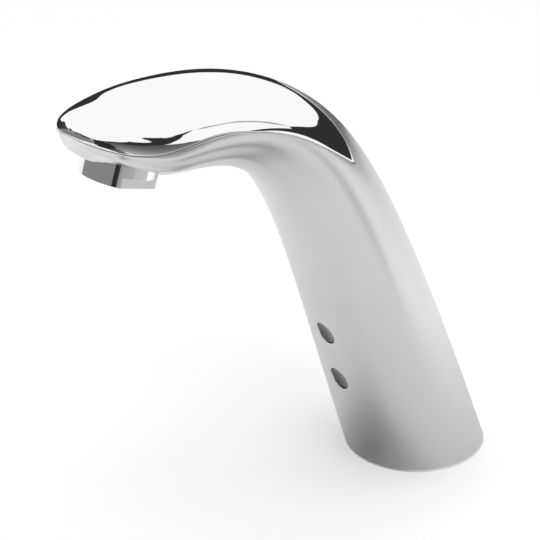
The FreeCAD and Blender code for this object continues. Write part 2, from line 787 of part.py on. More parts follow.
def outlet_nozzle():
    low = RING_HEIGHT + AERATOR_SEAT
    washer_top = thread_top() + SEAL_THICKNESS
    cavity_top = washer_top + NOZZLE_CAVITY
    axis = nozzle_axis_height()
    cup = cylinder(NOZZLE_RADIUS, low, cavity_top + NOZZLE_ROOF)
    edges = [e for e in cup.Edges if e.BoundBox.ZMin > cavity_top and e.Length > 10.0]
    cup = cup.makeFillet(NOZZLE_ROOF * 0.9, edges)
    arm = Part.makeCylinder(NOZZLE_SOCKET_RADIUS, NOZZLE_SOCKET_REACH, Vector(0, 0, axis), Y_AXIS)
    cup = cup.fuse(arm)
    cup = cup.cut(cylinder(THREAD_RADIUS + FIT_GAP, low - 1.0, washer_top))
    cup = cup.cut(cylinder(THREAD_RADIUS - SEAL_WIDTH, washer_top - 0.5, cavity_top))
    channel = Part.makeCylinder(NOZZLE_CHANNEL_RADIUS, NOZZLE_SOCKET_REACH,
                                Vector(0, 0, axis), Y_AXIS)
    socket = Part.makeCylinder(TUBE_RADIUS + FIT_GAP, SOCKET_DEPTH + 1.0,
                               Vector(0, NOZZLE_SOCKET_REACH - SOCKET_DEPTH, axis), Y_AXIS)
    return placed(cup.cut(channel).cut(socket), OUTLET)


# ---------------------------------------------------------------- water path
def tower_top():
    return VALVE_FOOT + TOWER_HEIGHT


def tube_points():
    """Return the tube's route: up the column, over, and into the nozzle."""
    axis = nozzle_axis_height()
    column = COLUMN.multVec
    outlet = OUTLET.multVec
    seated = tower_top() - TOWER_SOCKET + REST_GAP
    reach = NOZZLE_SOCKET_REACH
    return [column(Vector(TOWER_X, VALVE_OFFSET, seated)),
            column(Vector(TOWER_X, VALVE_OFFSET, tower_top() + 24.0)),
            column(Vector(TOWER_X - 0.5, VALVE_OFFSET - 4.0, 109.0)),
            Vector(TOWER_X - 5.5, -58.0, 134.0),
            outlet(Vector(0, reach + 17.5, axis)),
            outlet(Vector(0, reach - SOCKET_DEPTH + REST_GAP, axis))]


def water_tube():
    points = tube_points()
    outside = hose(points, TUBE_RADIUS, "water tube")
    bore = hose(points, TUBE_BORE, "water tube bore")
    return outside.cut(bore)


def tube_collets():
    ring_outer = TUBE_RADIUS + COLLET_WALL
    ring_inner = TUBE_RADIUS + FIT_GAP
    lower = tube(ring_outer, ring_inner, tower_top(), tower_top() + COLLET_HEIGHT,
                 TOWER_X, VALVE_OFFSET)
    axis = nozzle_axis_height()
    mouth = Vector(0, NOZZLE_SOCKET_REACH, axis)
    upper = Part.makeCylinder(ring_outer, COLLET_HEIGHT, mouth, Y_AXIS)
    upper = upper.cut(Part.makeCylinder(ring_inner, COLLET_HEIGHT, mouth, Y_AXIS))
    return Part.makeCompound([placed(lower, COLUMN), placed(upper, OUTLET)])


# --------------------------------------------------------------------- valve
def valve_top():
    return VALVE_FOOT + VALVE_HEIGHT


def valve_screw_places():
    reach = VALVE_BLOCK / 2.0 - VALVE_CORNER
    return corner_points(reach, reach, VALVE_OFFSET)


def valve_body():
    top = valve_top()
    solid = rounded_block(VALVE_BLOCK, VALVE_CORNER, VALVE_FOOT, top, VALVE_OFFSET)
    tower = cylinder(TOWER_RADIUS, VALVE_FOOT, tower_top(), TOWER_X, VALVE_OFFSET)
    solid = solid.fuse(tower)
    y = VALVE_OFFSET
    solid = solid.cut(cylinder(MEMBRANE_RADIUS + FIT_GAP, top - MEMBRANE_RIM, top + 1.0, 0, y))
    chamber = tube(CHAMBER_RADIUS, SEAT_TUBE_RADIUS, top - CHAMBER_DEPTH, top, 0, y)
    solid = solid.cut(chamber)
    seat_top = top - MEMBRANE_RIM - SEAT_DROP
    solid = solid.cut(cylinder(SEAT_TUBE_RADIUS + 0.1, seat_top, top + 1.0, 0, y))
    gallery = VALVE_FOOT + GALLERY_HEIGHT
    solid = solid.cut(cylinder(OUTLET_BORE, gallery, top, 0, y))
    solid = solid.cut(Part.makeCylinder(OUTLET_BORE, TOWER_X, Vector(0, y, gallery), X_AXIS))
    solid = solid.cut(cylinder(OUTLET_BORE, gallery, tower_top() + 1.0, TOWER_X, y))
    solid = solid.cut(cylinder(TUBE_RADIUS + FIT_GAP, tower_top() - TOWER_SOCKET,
                               tower_top() + 1.0, TOWER_X, y))
    solid = solid.cut(cylinder(INLET_SOCKET_RADIUS, VALVE_FOOT - 1.0,
                               VALVE_FOOT + INLET_SOCKET_DEPTH, 0, y))
    for angle in (90.0, 180.0, 270.0):
        px = PASSAGE_CIRCLE * math.cos(math.radians(angle))
        py = y + PASSAGE_CIRCLE * math.sin(math.radians(angle))
        solid = solid.cut(cylinder(PASSAGE_RADIUS, VALVE_FOOT + 1.0, top - CHAMBER_DEPTH + 1.0, px, py))
    for x, sy in valve_screw_places():
        solid = solid.cut(cylinder(VALVE_SCREW_RADIUS + FIT_GAP, VALVE_FOOT - 1.0, top + 1.0, x, sy))
    return placed(solid.removeSplitter(), COLUMN)


def diaphragm():
    top = valve_top()
    y = VALVE_OFFSET
    rim_low = top - MEMBRANE_RIM
    web_low = rim_low + (MEMBRANE_RIM - MEMBRANE_WEB) / 2.0
    pad_low = rim_low - SEAT_DROP + REST_GAP
    rim = tube(MEMBRANE_RADIUS, CHAMBER_RADIUS, rim_low, top, 0, y)
    web = tube(CHAMBER_RADIUS + 0.2, MEMBRANE_PAD_RADIUS - 0.2, web_low, web_low + MEMBRANE_WEB, 0, y)
    pad = cylinder(MEMBRANE_PAD_RADIUS, pad_low, top, 0, y)
    solid = rim.fuse(web).fuse(pad)
    solid = solid.cut(cylinder(INSERT_STEM_RADIUS + FIT_GAP, pad_low - 1.0, top + 1.0, 0, y))
    return placed(solid.removeSplitter(), COLUMN)


def diaphragm_insert():
    top = valve_top()
    y = VALVE_OFFSET
    plate = cylinder(MEMBRANE_PAD_RADIUS, top + FIT_GAP, top + FIT_GAP + INSERT_PLATE, 0, y)
    stem = cylinder(INSERT_STEM_RADIUS, top - MEMBRANE_RIM - SEAT_DROP, top + FIT_GAP + 0.5, 0, y)
    solid = plate.fuse(stem)
    solid = solid.cut(cylinder(PILOT_RADIUS, top - 10.0, top + 10.0, 0, y))
    return placed(solid.removeSplitter(), COLUMN)


def guide_bore():
    return PLUNGER_RADIUS + SLIDE_GAP


def guide_radius():
    return guide_bore() + GUIDE_WALL


def bonnet_top():
    return valve_top() + BONNET_HEIGHT


def valve_bonnet():
    top = bonnet_top()
    y = VALVE_OFFSET
    solid = rounded_block(VALVE_BLOCK, VALVE_CORNER, valve_top(), top, y)
    solid = solid.fuse(cylinder(guide_radius(), top - 0.5, top + GUIDE_LENGTH, 0, y))
    solid = solid.cut(cylinder(BONNET_CAVITY_RADIUS, valve_top() - 1.0,
                               valve_top() + BONNET_CAVITY, 0, y))
    solid = solid.cut(cylinder(guide_bore(), valve_top(), top + GUIDE_LENGTH + 1.0, 0, y))
    for x, sy in valve_screw_places():
        solid = solid.cut(cylinder(VALVE_SCREW_RADIUS + FIT_GAP, valve_top() - 1.0, top + 1.0, x, sy))
    solid = solid.cut(cylinder(TOWER_RADIUS + PLUG_GAP, valve_top() - 1.0, top + 1.0,
                               TOWER_X, y))
    return placed(solid.removeSplitter(), COLUMN)


def valve_screws():
    top = bonnet_top()
    screws = []
    for x, y in valve_screw_places():
        shank = cylinder(VALVE_SCREW_RADIUS, VALVE_FOOT - VALVE_SCREW_BITE + 0.5, top, x, y)
        head = cylinder(VALVE_SCREW_HEAD, top, top + VALVE_SCREW_HEAD_HEIGHT, x, y)
        drive = cylinder(VALVE_SCREW_HEAD * 0.45, top + VALVE_SCREW_HEAD_HEIGHT * 0.4,
                         top + VALVE_SCREW_HEAD_HEIGHT + 1.0, x, y)
        screws.append(placed(shank.fuse(head).cut(drive), COLUMN))
    return Part.makeCompound(screws)


def plunger_foot():
    """Return the height of the plunger's lower face at rest."""
    return valve_top() + FIT_GAP + INSERT_PLATE + REST_GAP + PLUNGER_TIP_PROUD


def plunger():
    low = plunger_foot()
    high = low + PLUNGER_LENGTH
    y = VALVE_OFFSET
    solid = cylinder(PLUNGER_RADIUS, low, high, 0, y)
    solid = solid.cut(cylinder(PLUNGER_TIP_RADIUS, low - 1.0, low + PLUNGER_TIP_DEPTH, 0, y))
    solid = solid.cut(cylinder(SPRING_POCKET_RADIUS, high - SPRING_POCKET, high + 1.0, 0, y))
    slot = block((-0.5, 0.5), (y - PLUNGER_RADIUS - 1.0, y - PLUNGER_RADIUS + 0.8),
                 (low - 1.0, high + 1.0))
    return placed(solid.cut(slot), COLUMN)


def plunger_tip():
    low = plunger_foot()
    tip = cylinder(PLUNGER_TIP_RADIUS, low - PLUNGER_TIP_PROUD, low + PLUNGER_TIP_DEPTH,
                   0, VALVE_OFFSET)
    return placed(tip, COLUMN)


def pole_foot():
    return plunger_foot() + PLUNGER_LENGTH + PLUNGER_TRAVEL + REST_GAP


def pole_piece():
    low = pole_foot()
    high = low + POLE_LENGTH
    y = VALVE_OFFSET
    solid = cylinder(guide_bore() - FIT_GAP, low, high, 0, y)
    guide_end = bonnet_top() + GUIDE_LENGTH
    solid = solid.fuse(cylinder(POLE_STUD_RADIUS, high - 0.5, guide_end + POLE_STUD_LENGTH, 0, y))
    solid = solid.cut(cylinder(SPRING_POCKET_RADIUS, low - 1.0, low + POLE_POCKET, 0, y))
    return placed(solid, COLUMN)


def plunger_spring():
    low = plunger_foot() + PLUNGER_LENGTH - SPRING_POCKET
    high = pole_foot() + POLE_POCKET
    radius = SPRING_POCKET_RADIUS - SPRING_WIRE - SLIDE_GAP
    spring = helix_spring(radius, SPRING_WIRE, low, high, SPRING_TURNS, VALVE_OFFSET)
    return placed(spring, COLUMN)


def bobbin_foot():
    return bonnet_top() + YOKE_PLATE + 2.0 * FIT_GAP


def bobbin_core_radius():
    return guide_radius() + FIT_GAP + BOBBIN_CORE


def coil_bobbin():
    low = bobbin_foot()
    high = low + BOBBIN_HEIGHT
    y = VALVE_OFFSET
    solid = cylinder(bobbin_core_radius(), low, high, 0, y)
    solid = solid.fuse(cylinder(BOBBIN_RADIUS, low, low + BOBBIN_FLANGE, 0, y))
    solid = solid.fuse(cylinder(BOBBIN_RADIUS, high - BOBBIN_FLANGE, high, 0, y))
    half = TERMINAL_SIZE / 2.0
    front = y - BOBBIN_RADIUS + 0.6
    terminal = block((COIL_LEAD_X - half, COIL_LEAD_X + half), (front, front + TERMINAL_SIZE * 0.5),
                     (high - BOBBIN_FLANGE, high + TERMINAL_HEIGHT))
    solid = solid.fuse(terminal)
    solid = solid.cut(cylinder(guide_radius() + FIT_GAP, low - 1.0, high + 1.0, 0, y))
    return placed(solid.removeSplitter(), COLUMN)


def coil_winding():
    low = bobbin_foot() + BOBBIN_FLANGE
    high = bobbin_foot() + BOBBIN_HEIGHT - BOBBIN_FLANGE
    winding = tube(BOBBIN_RADIUS - WINDING_INSET, bobbin_core_radius() + FIT_GAP,
                   low + FIT_GAP, high - FIT_GAP, 0, VALVE_OFFSET)
    return placed(winding, COLUMN)


def yoke_top():
    return bobbin_foot() + BOBBIN_HEIGHT + FIT_GAP + YOKE_PLATE


def coil_yoke():
    low = bonnet_top() + FIT_GAP
    high = yoke_top()
    y = VALVE_OFFSET
    half = YOKE_WIDTH / 2.0
    back = y + BOBBIN_RADIUS + FIT_GAP
    front = y - YOKE_FRONT
    solid = block((-half, half), (front, back + YOKE_PLATE), (low, high))
    solid = solid.cut(block((-half - 1.0, half + 1.0), (front - 1.0, back),
                            (low + YOKE_PLATE, high - YOKE_PLATE)))
    solid = solid.cut(cylinder(guide_radius() + FIT_GAP, low - 1.0, high + 1.0, 0, y))
    half_notch = TERMINAL_SIZE / 2.0 + 0.3
    notch = block((COIL_LEAD_X - half_notch, COIL_LEAD_X + half_notch),
                  (front - 1.0, y - BOBBIN_RADIUS + 0.6 + TERMINAL_SIZE * 0.5 + 0.3),
                  (high - YOKE_PLATE - 0.5, high + 1.0))
    return placed(solid.cut(notch), COLUMN)


def coil_nut():
    low = yoke_top()
    y = VALVE_OFFSET
    nut = hexagon(COIL_NUT_FLATS, low, low + COIL_NUT_HEIGHT, y)
    guide_end = bonnet_top() + GUIDE_LENGTH
    nut = nut.cut(cylinder(POLE_STUD_RADIUS + FIT_GAP, low - 1.0, low + COIL_NUT_HEIGHT + 1.0, 0, y))
    if guide_end > low:
        nut = nut.cut(cylinder(guide_radius() + FIT_GAP, low - 1.0, guide_end + FIT_GAP, 0, y))
    return placed(nut, COLUMN)


# ----------------------------------------------------------------- the foot
def check_floor():
    """Return where the check valve's chamber begins along the column."""
    return VALVE_FOOT - CHECK_CHAMBER_DEPTH


def inlet_end():
    return INLET_THREAD_LENGTH + STRAINER_HEIGHT


def strainer_seat_radius():
    return INLET_THREAD_RADIUS - STRAINER_STEP


def inlet_y():
    """Return where the leaned valve axis stands over the inlet's inner end."""
    lean = math.radians(COLUMN_LEAN)
    along = (inlet_end() - VALVE_OFFSET * math.sin(lean)) / math.cos(lean)
    return VALVE_OFFSET * math.cos(lean) - along * math.sin(lean)


def base_plug():
    above = block((-60, 60), (-60, 60), (0, 80))
    boss = placed(cylinder(PLUG_BOSS_RADIUS, -10.0, VALVE_FOOT, 0, VALVE_OFFSET), COLUMN)
    solid = cylinder(BASE_BORE - PLUG_GAP, 0.0, PLUG_DISC_HEIGHT).fuse(boss.common(above))
    for x, sy in valve_screw_places():
        post = placed(cylinder(VALVE_POST_RADIUS, -10.0, VALVE_FOOT, x, sy), COLUMN)
        hole = cylinder(VALVE_SCREW_RADIUS, VALVE_FOOT - VALVE_SCREW_BITE, VALVE_FOOT + 1.0, x, sy)
        solid = solid.fuse(post.common(above)).cut(placed(hole, COLUMN))
    for side in (-1, 1):
        solid = solid.fuse(cylinder(STUD_BOSS_RADIUS, 0.0, STUD_BOSS_HEIGHT, side * STUD_X, 0))
    y = inlet_y()
    solid = solid.cut(cylinder(INLET_THREAD_RADIUS, -1.0, INLET_THREAD_LENGTH, 0, y))
    solid = solid.cut(cylinder(strainer_seat_radius(), 0.0, inlet_end(), 0, y))
    solid = solid.cut(placed(cylinder(CHECK_SEAT_RADIUS, check_floor() - 5.0,
                                      check_floor() + 1.0, 0, VALVE_OFFSET), COLUMN))
    solid = solid.cut(placed(cylinder(CHECK_CHAMBER_RADIUS, check_floor(), VALVE_FOOT + 1.0,
                                      0, VALVE_OFFSET), COLUMN))
    for side in (-1, 1):
        solid = solid.cut(cylinder(STUD_THREAD_RADIUS, -1.0, STUD_BOSS_HEIGHT - 1.5,
                                   side * STUD_X, 0))
    solid = solid.cut(cylinder(GLAND_RADIUS + FIT_GAP, -1.0, PLUG_DISC_HEIGHT + 1.0, 0, GLAND_Y))
    for x, sy in corner_points(BASE_SCREW_X, BASE_SCREW_Y):
        solid = solid.cut(cylinder(BASE_SCREW_RADIUS + FIT_GAP, -1.0, PLUG_DISC_HEIGHT + 1.0, x, sy))
        solid = solid.cut(cylinder(BASE_SCREW_HEAD + FIT_GAP, -1.0, BASE_SCREW_RECESS, x, sy))
    groove_inner = BASE_BORE - PLUG_SEAL_WIDTH
    solid = solid.cut(tube(BASE_BORE + 1.0, groove_inner, PLUG_SEAL_Z,
                           PLUG_SEAL_Z + PLUG_SEAL_HEIGHT))
    return solid


def plug_seal():
    return tube(BASE_BORE - FIT_GAP, BASE_BORE - PLUG_SEAL_WIDTH, PLUG_SEAL_Z + FIT_GAP,
                PLUG_SEAL_Z + PLUG_SEAL_HEIGHT - FIT_GAP)


def base_seal():
    return tube(BASE_SEAL_INNER + BASE_SEAL_WIDTH - FIT_GAP, BASE_SEAL_INNER + FIT_GAP,
                0.0, BASE_SEAL_HEIGHT)


def base_screws():
    screws = []
    for x, y in corner_points(BASE_SCREW_X, BASE_SCREW_Y):
        low = BASE_SCREW_RECESS - BASE_SCREW_HEAD_HEIGHT
        head = cylinder(BASE_SCREW_HEAD, low, BASE_SCREW_RECESS, x, y)
        top = PLUG_DISC_HEIGHT + BASE_SCREW_BITE - 0.5
        shank = cylinder(BASE_SCREW_RADIUS, BASE_SCREW_RECESS, top, x, y)
        drive = cylinder(BASE_SCREW_HEAD * 0.45, low - 1.0, low + BASE_SCREW_HEAD_HEIGHT * 0.6, x, y)
        screws.append(head.fuse(shank).cut(drive))
    return Part.makeCompound(screws)


def inlet_strainer():
    y = inlet_y()
    low = INLET_THREAD_LENGTH
    high = inlet_end()
    outer = strainer_seat_radius() - FIT_GAP
    cup = cylinder(outer, low, high, 0, y)
    cup = cup.cut(cylinder(outer - STRAINER_WALL, low - 1.0, high - STRAINER_WALL, 0, y))
    for ring_share in (0.3, 0.65):
        for k in range(STRAINER_HOLES):
            angle = 2.0 * math.pi * k / STRAINER_HOLES
            x = outer * ring_share * math.cos(angle)
            hy = y + outer * ring_share * math.sin(angle)
            cup = cup.cut(cylinder(STRAINER_HOLE, high - 1.0, high + 1.0, x, hy))
    return cup


def poppet_foot():
    return check_floor() + REST_GAP


def guide_foot():
    """Return where the check valve's guide begins, under the valve body."""
    return VALVE_FOOT - CHECK_GUIDE_HEIGHT


def check_poppet():
    low = poppet_foot()
    y = VALVE_OFFSET
    disc = cylinder(POPPET_RADIUS, low, low + POPPET_DISC, 0, y)
    stem = cylinder(POPPET_STEM_RADIUS, low + POPPET_DISC - 0.5,
                    low + POPPET_DISC + POPPET_STEM_LENGTH, 0, y)
    return placed(disc.fuse(stem), COLUMN)


def check_guide():
    low = guide_foot()
    y = VALVE_OFFSET
    disc = cylinder(CHECK_CHAMBER_RADIUS - FIT_GAP, low, VALVE_FOOT, 0, y)
    disc = disc.cut(cylinder(POPPET_STEM_RADIUS + SLIDE_GAP, low - 1.0, VALVE_FOOT + 1.0, 0, y))
    for k in range(CHECK_GUIDE_PORTS):
        angle = 2.0 * math.pi * (k + 0.5) / CHECK_GUIDE_PORTS
        x = CHECK_GUIDE_PORT_CIRCLE * math.cos(angle)
        py = y + CHECK_GUIDE_PORT_CIRCLE * math.sin(angle)
        disc = disc.cut(cylinder(CHECK_GUIDE_PORT_RADIUS, low - 1.0, VALVE_FOOT + 1.0, x, py))
    return placed(disc, COLUMN)


def check_spring():
    low = poppet_foot() + POPPET_DISC
    spring = helix_spring(CHECK_SPRING_RADIUS, CHECK_SPRING_WIRE, low, guide_foot(),
                          CHECK_SPRING_TURNS, VALVE_OFFSET)
    return placed(spring, COLUMN)


def cable_gland():
    top = PLUG_DISC_HEIGHT + GLAND_FLANGE_HEIGHT
    neck_top = top + GLAND_NECK
    solid = cylinder(GLAND_RADIUS, GLAND_RECESS, neck_top, 0, GLAND_Y)
    solid = solid.fuse(cylinder(GLAND_FLANGE_RADIUS, PLUG_DISC_HEIGHT, top, 0, GLAND_Y))
    solid = solid.cut(cylinder(SENSOR_LEAD_RADIUS + FIT_GAP, -1.0, neck_top + 1.0, 0, GLAND_Y))
    return solid.removeSplitter()


# --------------------------------------------------------------- sensor unit
def window_heights():
    return [WINDOW_SPACING / 2.0, -WINDOW_SPACING / 2.0]


def sensor_screw_heights():
    reach = HOUSING_HEIGHT / 2.0 + SENSOR_LUG / 2.0
    return [reach, -reach]


def housing_back():
    return HOUSING_FRONT + HOUSING_DEPTH


def lens(height):
    radius = WINDOW_RADIUS - LENS_GAP
    step = HOUSING_FRONT + HOUSING_WALL
    solid = inward(radius, LENS_RECESS, step, 0.0, height)
    solid = solid.fuse(inward(radius + LENS_FLANGE_WIDTH, step, step + LENS_FLANGE, 0.0, height))
    dish_radius = (radius ** 2 + LENS_DISH ** 2) / (2.0 * LENS_DISH)
    dish = Part.makeSphere(dish_radius, Vector(0, LENS_RECESS + LENS_DISH - dish_radius, height))
    return placed(solid.cut(dish).removeSplitter(), SENSOR)


def lens_seals():
    seals = []
    for z in window_heights():
        outer = inward(WINDOW_RADIUS + LENS_SEAL_WIDTH, PAD_DEPTH, HOUSING_FRONT, 0.0, z)
        seals.append(placed(outer.cut(inward(WINDOW_RADIUS, PAD_DEPTH, HOUSING_FRONT, 0.0, z)), SENSOR))
    return Part.makeCompound(seals)


def sensor_housing():
    half_w = HOUSING_WIDTH / 2.0
    half_h = HOUSING_HEIGHT / 2.0
    back = housing_back()
    solid = block((-half_w, half_w), (HOUSING_FRONT, back - HOUSING_WALL), (-half_h, half_h))
    solid = solid.cut(block((-half_w + HOUSING_WALL, half_w - HOUSING_WALL),
                            (HOUSING_FRONT + HOUSING_WALL, back),
                            (-half_h + HOUSING_WALL, half_h - HOUSING_WALL)))
    lug_half = SENSOR_LUG / 2.0 + 0.8
    for side in (-1, 1):
        near = side * (half_h - 0.5)
        far = side * (half_h + SENSOR_LUG)
        solid = solid.fuse(block((-lug_half, lug_half),
                                 (HOUSING_FRONT, HOUSING_FRONT + SENSOR_LUG_THICKNESS),
                                 (min(near, far), max(near, far))))
    for z in sensor_screw_heights():
        solid = solid.cut(inward(SENSOR_SCREW_RADIUS + FIT_GAP, HOUSING_FRONT - 1.0, back, 0.0, z))
    for z in window_heights():
        solid = solid.cut(inward(WINDOW_RADIUS, HOUSING_FRONT - 1.0, HOUSING_FRONT + 2.0, 0.0, z))
    lead_y = lead_depth()
    solid = solid.cut(cylinder(SENSOR_LEAD_RADIUS + FIT_GAP, -half_h - 1.0,
                               -half_h + HOUSING_WALL + 0.1, 0.0, lead_y))
    solid = solid.cut(cylinder(COIL_LEAD_RADIUS + FIT_GAP, half_h - HOUSING_WALL - 0.1,
                               half_h + 1.0, COIL_LEAD_X, lead_y))
    return placed(solid.removeSplitter(), SENSOR)


def sensor_back():
    half_w = HOUSING_WIDTH / 2.0
    half_h = HOUSING_HEIGHT / 2.0
    back = housing_back()
    plate = block((-half_w, half_w), (back - HOUSING_WALL, back), (-half_h, half_h))
    return placed(plate, SENSOR)


def board_front():
    return HOUSING_FRONT + HOUSING_WALL + LENS_FLANGE + BOARD_BEHIND_LENS


def lead_depth():
    return board_front() + BOARD_THICKNESS / 2.0


def board_half_height():
    return HOUSING_HEIGHT / 2.0 - HOUSING_WALL - 0.8


def circuit_board():
    half_w = HOUSING_WIDTH / 2.0 - HOUSING_WALL - FIT_GAP
    half_h = board_half_height()
    board = block((-half_w, half_w), (board_front(), board_front() + BOARD_THICKNESS),
                  (-half_h, half_h))
    return placed(board, SENSOR)


def control_chip():
    half = CHIP_SIZE / 2.0
    low = board_front() + BOARD_THICKNESS
    return placed(block((-half, half), (low, low + CHIP_THICKNESS), (-half, half)), SENSOR)


def infrared_emitter():
    z = window_heights()[0]
    face = board_front()
    front = face - BOARD_BEHIND_LENS + 0.2
    body = inward(DIODE_RADIUS, front + DIODE_RADIUS * 0.6, face, 0.0, z)
    dome = Part.makeSphere(DIODE_RADIUS, Vector(0, front + DIODE_RADIUS, z))
    keep = inward(DIODE_RADIUS + 1.0, front - 1.0, front + DIODE_RADIUS, 0.0, z)
    collar = inward(DIODE_RADIUS + 0.4, face - DIODE_COLLAR, face, 0.0, z)
    short = inward(DIODE_RADIUS + 2.0, front - 1.0, face, 0.0, z)
    return placed(body.fuse(dome.common(keep)).fuse(collar).common(short).removeSplitter(), SENSOR)


def infrared_receiver():
    z = window_heights()[1]
    half = RECEIVER_SIZE / 2.0
    face = board_front()
    solid = block((-half, half), (face - BOARD_BEHIND_LENS + 0.4, face), (z - half, z + half))
    bump = Part.makeSphere(half * 0.7, Vector(0, face - BOARD_BEHIND_LENS + 1.1, z))
    limit = block((-half, half), (face - BOARD_BEHIND_LENS + 0.1, face), (z - half, z + half))
    return placed(solid.fuse(bump.common(limit)).removeSplitter(), SENSOR)


def sensor_screws():
    screws = []
    face = HOUSING_FRONT + SENSOR_LUG_THICKNESS
    for z in sensor_screw_heights():
        shank = inward(SENSOR_SCREW_RADIUS, HOUSING_FRONT - SENSOR_SCREW_BITE + 0.3, face, 0.0, z)
        head = inward(SENSOR_SCREW_HEAD, face, face + SENSOR_SCREW_HEAD_HEIGHT, 0.0, z)
        drive = inward(SENSOR_SCREW_HEAD * 0.45, face + SENSOR_SCREW_HEAD_HEIGHT * 0.4,
                       face + SENSOR_SCREW_HEAD_HEIGHT + 1.0, 0.0, z)
        screws.append(placed(shank.fuse(head).cut(drive), SENSOR))
    return Part.makeCompound(screws)


# --------------------------------------------------------------------- leads
def sensor_lead():
    start = SENSOR.multVec(Vector(0, lead_depth(), -board_half_height()))
    leave = SENSOR.multVec(Vector(0, lead_depth(), -HOUSING_HEIGHT / 2.0 - LEAD_RISE))
    neck_top = PLUG_DISC_HEIGHT + GLAND_FLANGE_HEIGHT + GLAND_NECK
    arrive = Vector(0, GLAND_Y, neck_top + LEAD_RISE * 0.6)
    end = Vector(0, GLAND_Y, PLUG_DISC_HEIGHT)
    return hose([start, leave, arrive, end], SENSOR_LEAD_RADIUS, "sensor lead")


def coil_lead():
    y = VALVE_OFFSET - BOBBIN_RADIUS + 0.6 + TERMINAL_SIZE * 0.25
    top = bobbin_foot() + BOBBIN_HEIGHT + TERMINAL_HEIGHT
    start = SENSOR.multVec(Vector(COIL_LEAD_X, lead_depth(), board_half_height()))
    leave = SENSOR.multVec(Vector(COIL_LEAD_X, lead_depth(), HOUSING_HEIGHT / 2.0 + LEAD_RISE * 0.22))
    arrive = COLUMN.multVec(Vector(COIL_LEAD_X, y, top + LEAD_RISE * 0.8))
    end = COLUMN.multVec(Vector(COIL_LEAD_X, y, top))
    across = arrive - leave
    crest = COLUMN.Rotation.multVec(Vector(0, 0, LEAD_RISE * 0.25))
    points = [start, leave, leave + across * 0.3 + crest, arrive - across * 0.3 + crest, arrive, end]
    return hose(points, COIL_LEAD_RADIUS, "coil lead")


# -------------------------------------------------------------------- export
def build():
    shells = Shells(Form())
    upper, lower = window_heights()
    return {
        "body_shell": shells.body(),
        "top_cover": shells.cover(),
        "cover_seat": shells.seat(),
        "aerator_ring": aerator_ring(),
        "aerator_cartridge": aerator_cartridge(),
        "aerator_screen": aerator_screen(),
        "aerator_seal": aerator_seal(),
        "outlet_nozzle": outlet_nozzle(),
        "water_tube": water_tube(),
        "tube_collets": tube_collets(),
        "emitter_lens": lens(upper),
        "receiver_lens": lens(lower),
        "lens_seals": lens_seals(),
        "sensor_housing": sensor_housing(),
        "sensor_back": sensor_back(),
        "circuit_board": circuit_board(),
        "control_chip": control_chip(),
        "infrared_emitter": infrared_emitter(),
        "infrared_receiver": infrared_receiver(),
        "sensor_screws": sensor_screws(),
        "sensor_lead": sensor_lead(),
        "coil_lead": coil_lead(),
        "valve_body": valve_body(),
        "diaphragm": diaphragm(),
        "diaphragm_insert": diaphragm_insert(),
        "valve_bonnet": valve_bonnet(),
        "valve_screws": valve_screws(),
        "plunger": plunger(),
        "plunger_tip": plunger_tip(),
        "plunger_spring": plunger_spring(),
        "pole_piece": pole_piece(),
        "coil_bobbin": coil_bobbin(),
        "coil_winding": coil_winding(),
        "coil_yoke": coil_yoke(),
        "coil_nut": coil_nut(),
        "base_plug": base_plug(),
        "plug_seal": plug_seal(),
        "base_seal": base_seal(),
        "base_screws": base_screws(),
        "inlet_strainer": inlet_strainer(),
        "check_poppet": check_poppet(),
        "check_spring": check_spring(),
        "check_guide": check_guide(),
        "cable_gland": cable_gland(),
    }


os.makedirs("parts", exist_ok=True)
for node, shape in build().items():
    solids = shape.Solids
    print("%-18s solids %d valid %s volume %.1f" % (node, len(solids), shape.isValid(), shape.Volume))
    result = solids[0] if len(solids) == 1 else Part.makeCompound(solids)
    result.exportStep("parts/%s.step" % node)
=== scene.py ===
"""A touch-free basin tap: satin column and spout, polished top cover, aerator and two sensor windows."""

import json
import logging
import math
from collections.abc import Callable, Iterator
from contextlib import contextmanager
from dataclasses import dataclass
from enum import Enum

import bmesh
import bpy
import numpy as np
from mathutils import Matrix, Vector

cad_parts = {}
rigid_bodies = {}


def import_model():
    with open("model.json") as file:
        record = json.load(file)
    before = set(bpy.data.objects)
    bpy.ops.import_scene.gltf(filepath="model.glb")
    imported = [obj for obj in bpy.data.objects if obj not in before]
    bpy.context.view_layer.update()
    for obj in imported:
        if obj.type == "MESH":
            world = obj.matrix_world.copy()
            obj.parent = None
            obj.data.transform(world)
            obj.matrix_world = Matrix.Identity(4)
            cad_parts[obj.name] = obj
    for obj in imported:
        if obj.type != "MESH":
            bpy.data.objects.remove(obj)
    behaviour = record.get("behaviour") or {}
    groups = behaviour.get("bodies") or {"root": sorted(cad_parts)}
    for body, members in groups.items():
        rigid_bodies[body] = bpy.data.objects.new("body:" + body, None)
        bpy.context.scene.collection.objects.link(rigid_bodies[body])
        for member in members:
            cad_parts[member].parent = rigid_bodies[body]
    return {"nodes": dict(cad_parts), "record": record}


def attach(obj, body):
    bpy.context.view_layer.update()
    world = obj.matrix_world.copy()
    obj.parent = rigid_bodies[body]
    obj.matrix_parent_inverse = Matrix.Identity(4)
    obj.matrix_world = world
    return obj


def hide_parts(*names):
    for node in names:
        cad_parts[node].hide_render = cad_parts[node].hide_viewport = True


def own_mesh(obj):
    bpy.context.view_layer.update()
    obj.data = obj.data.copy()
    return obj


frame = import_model()

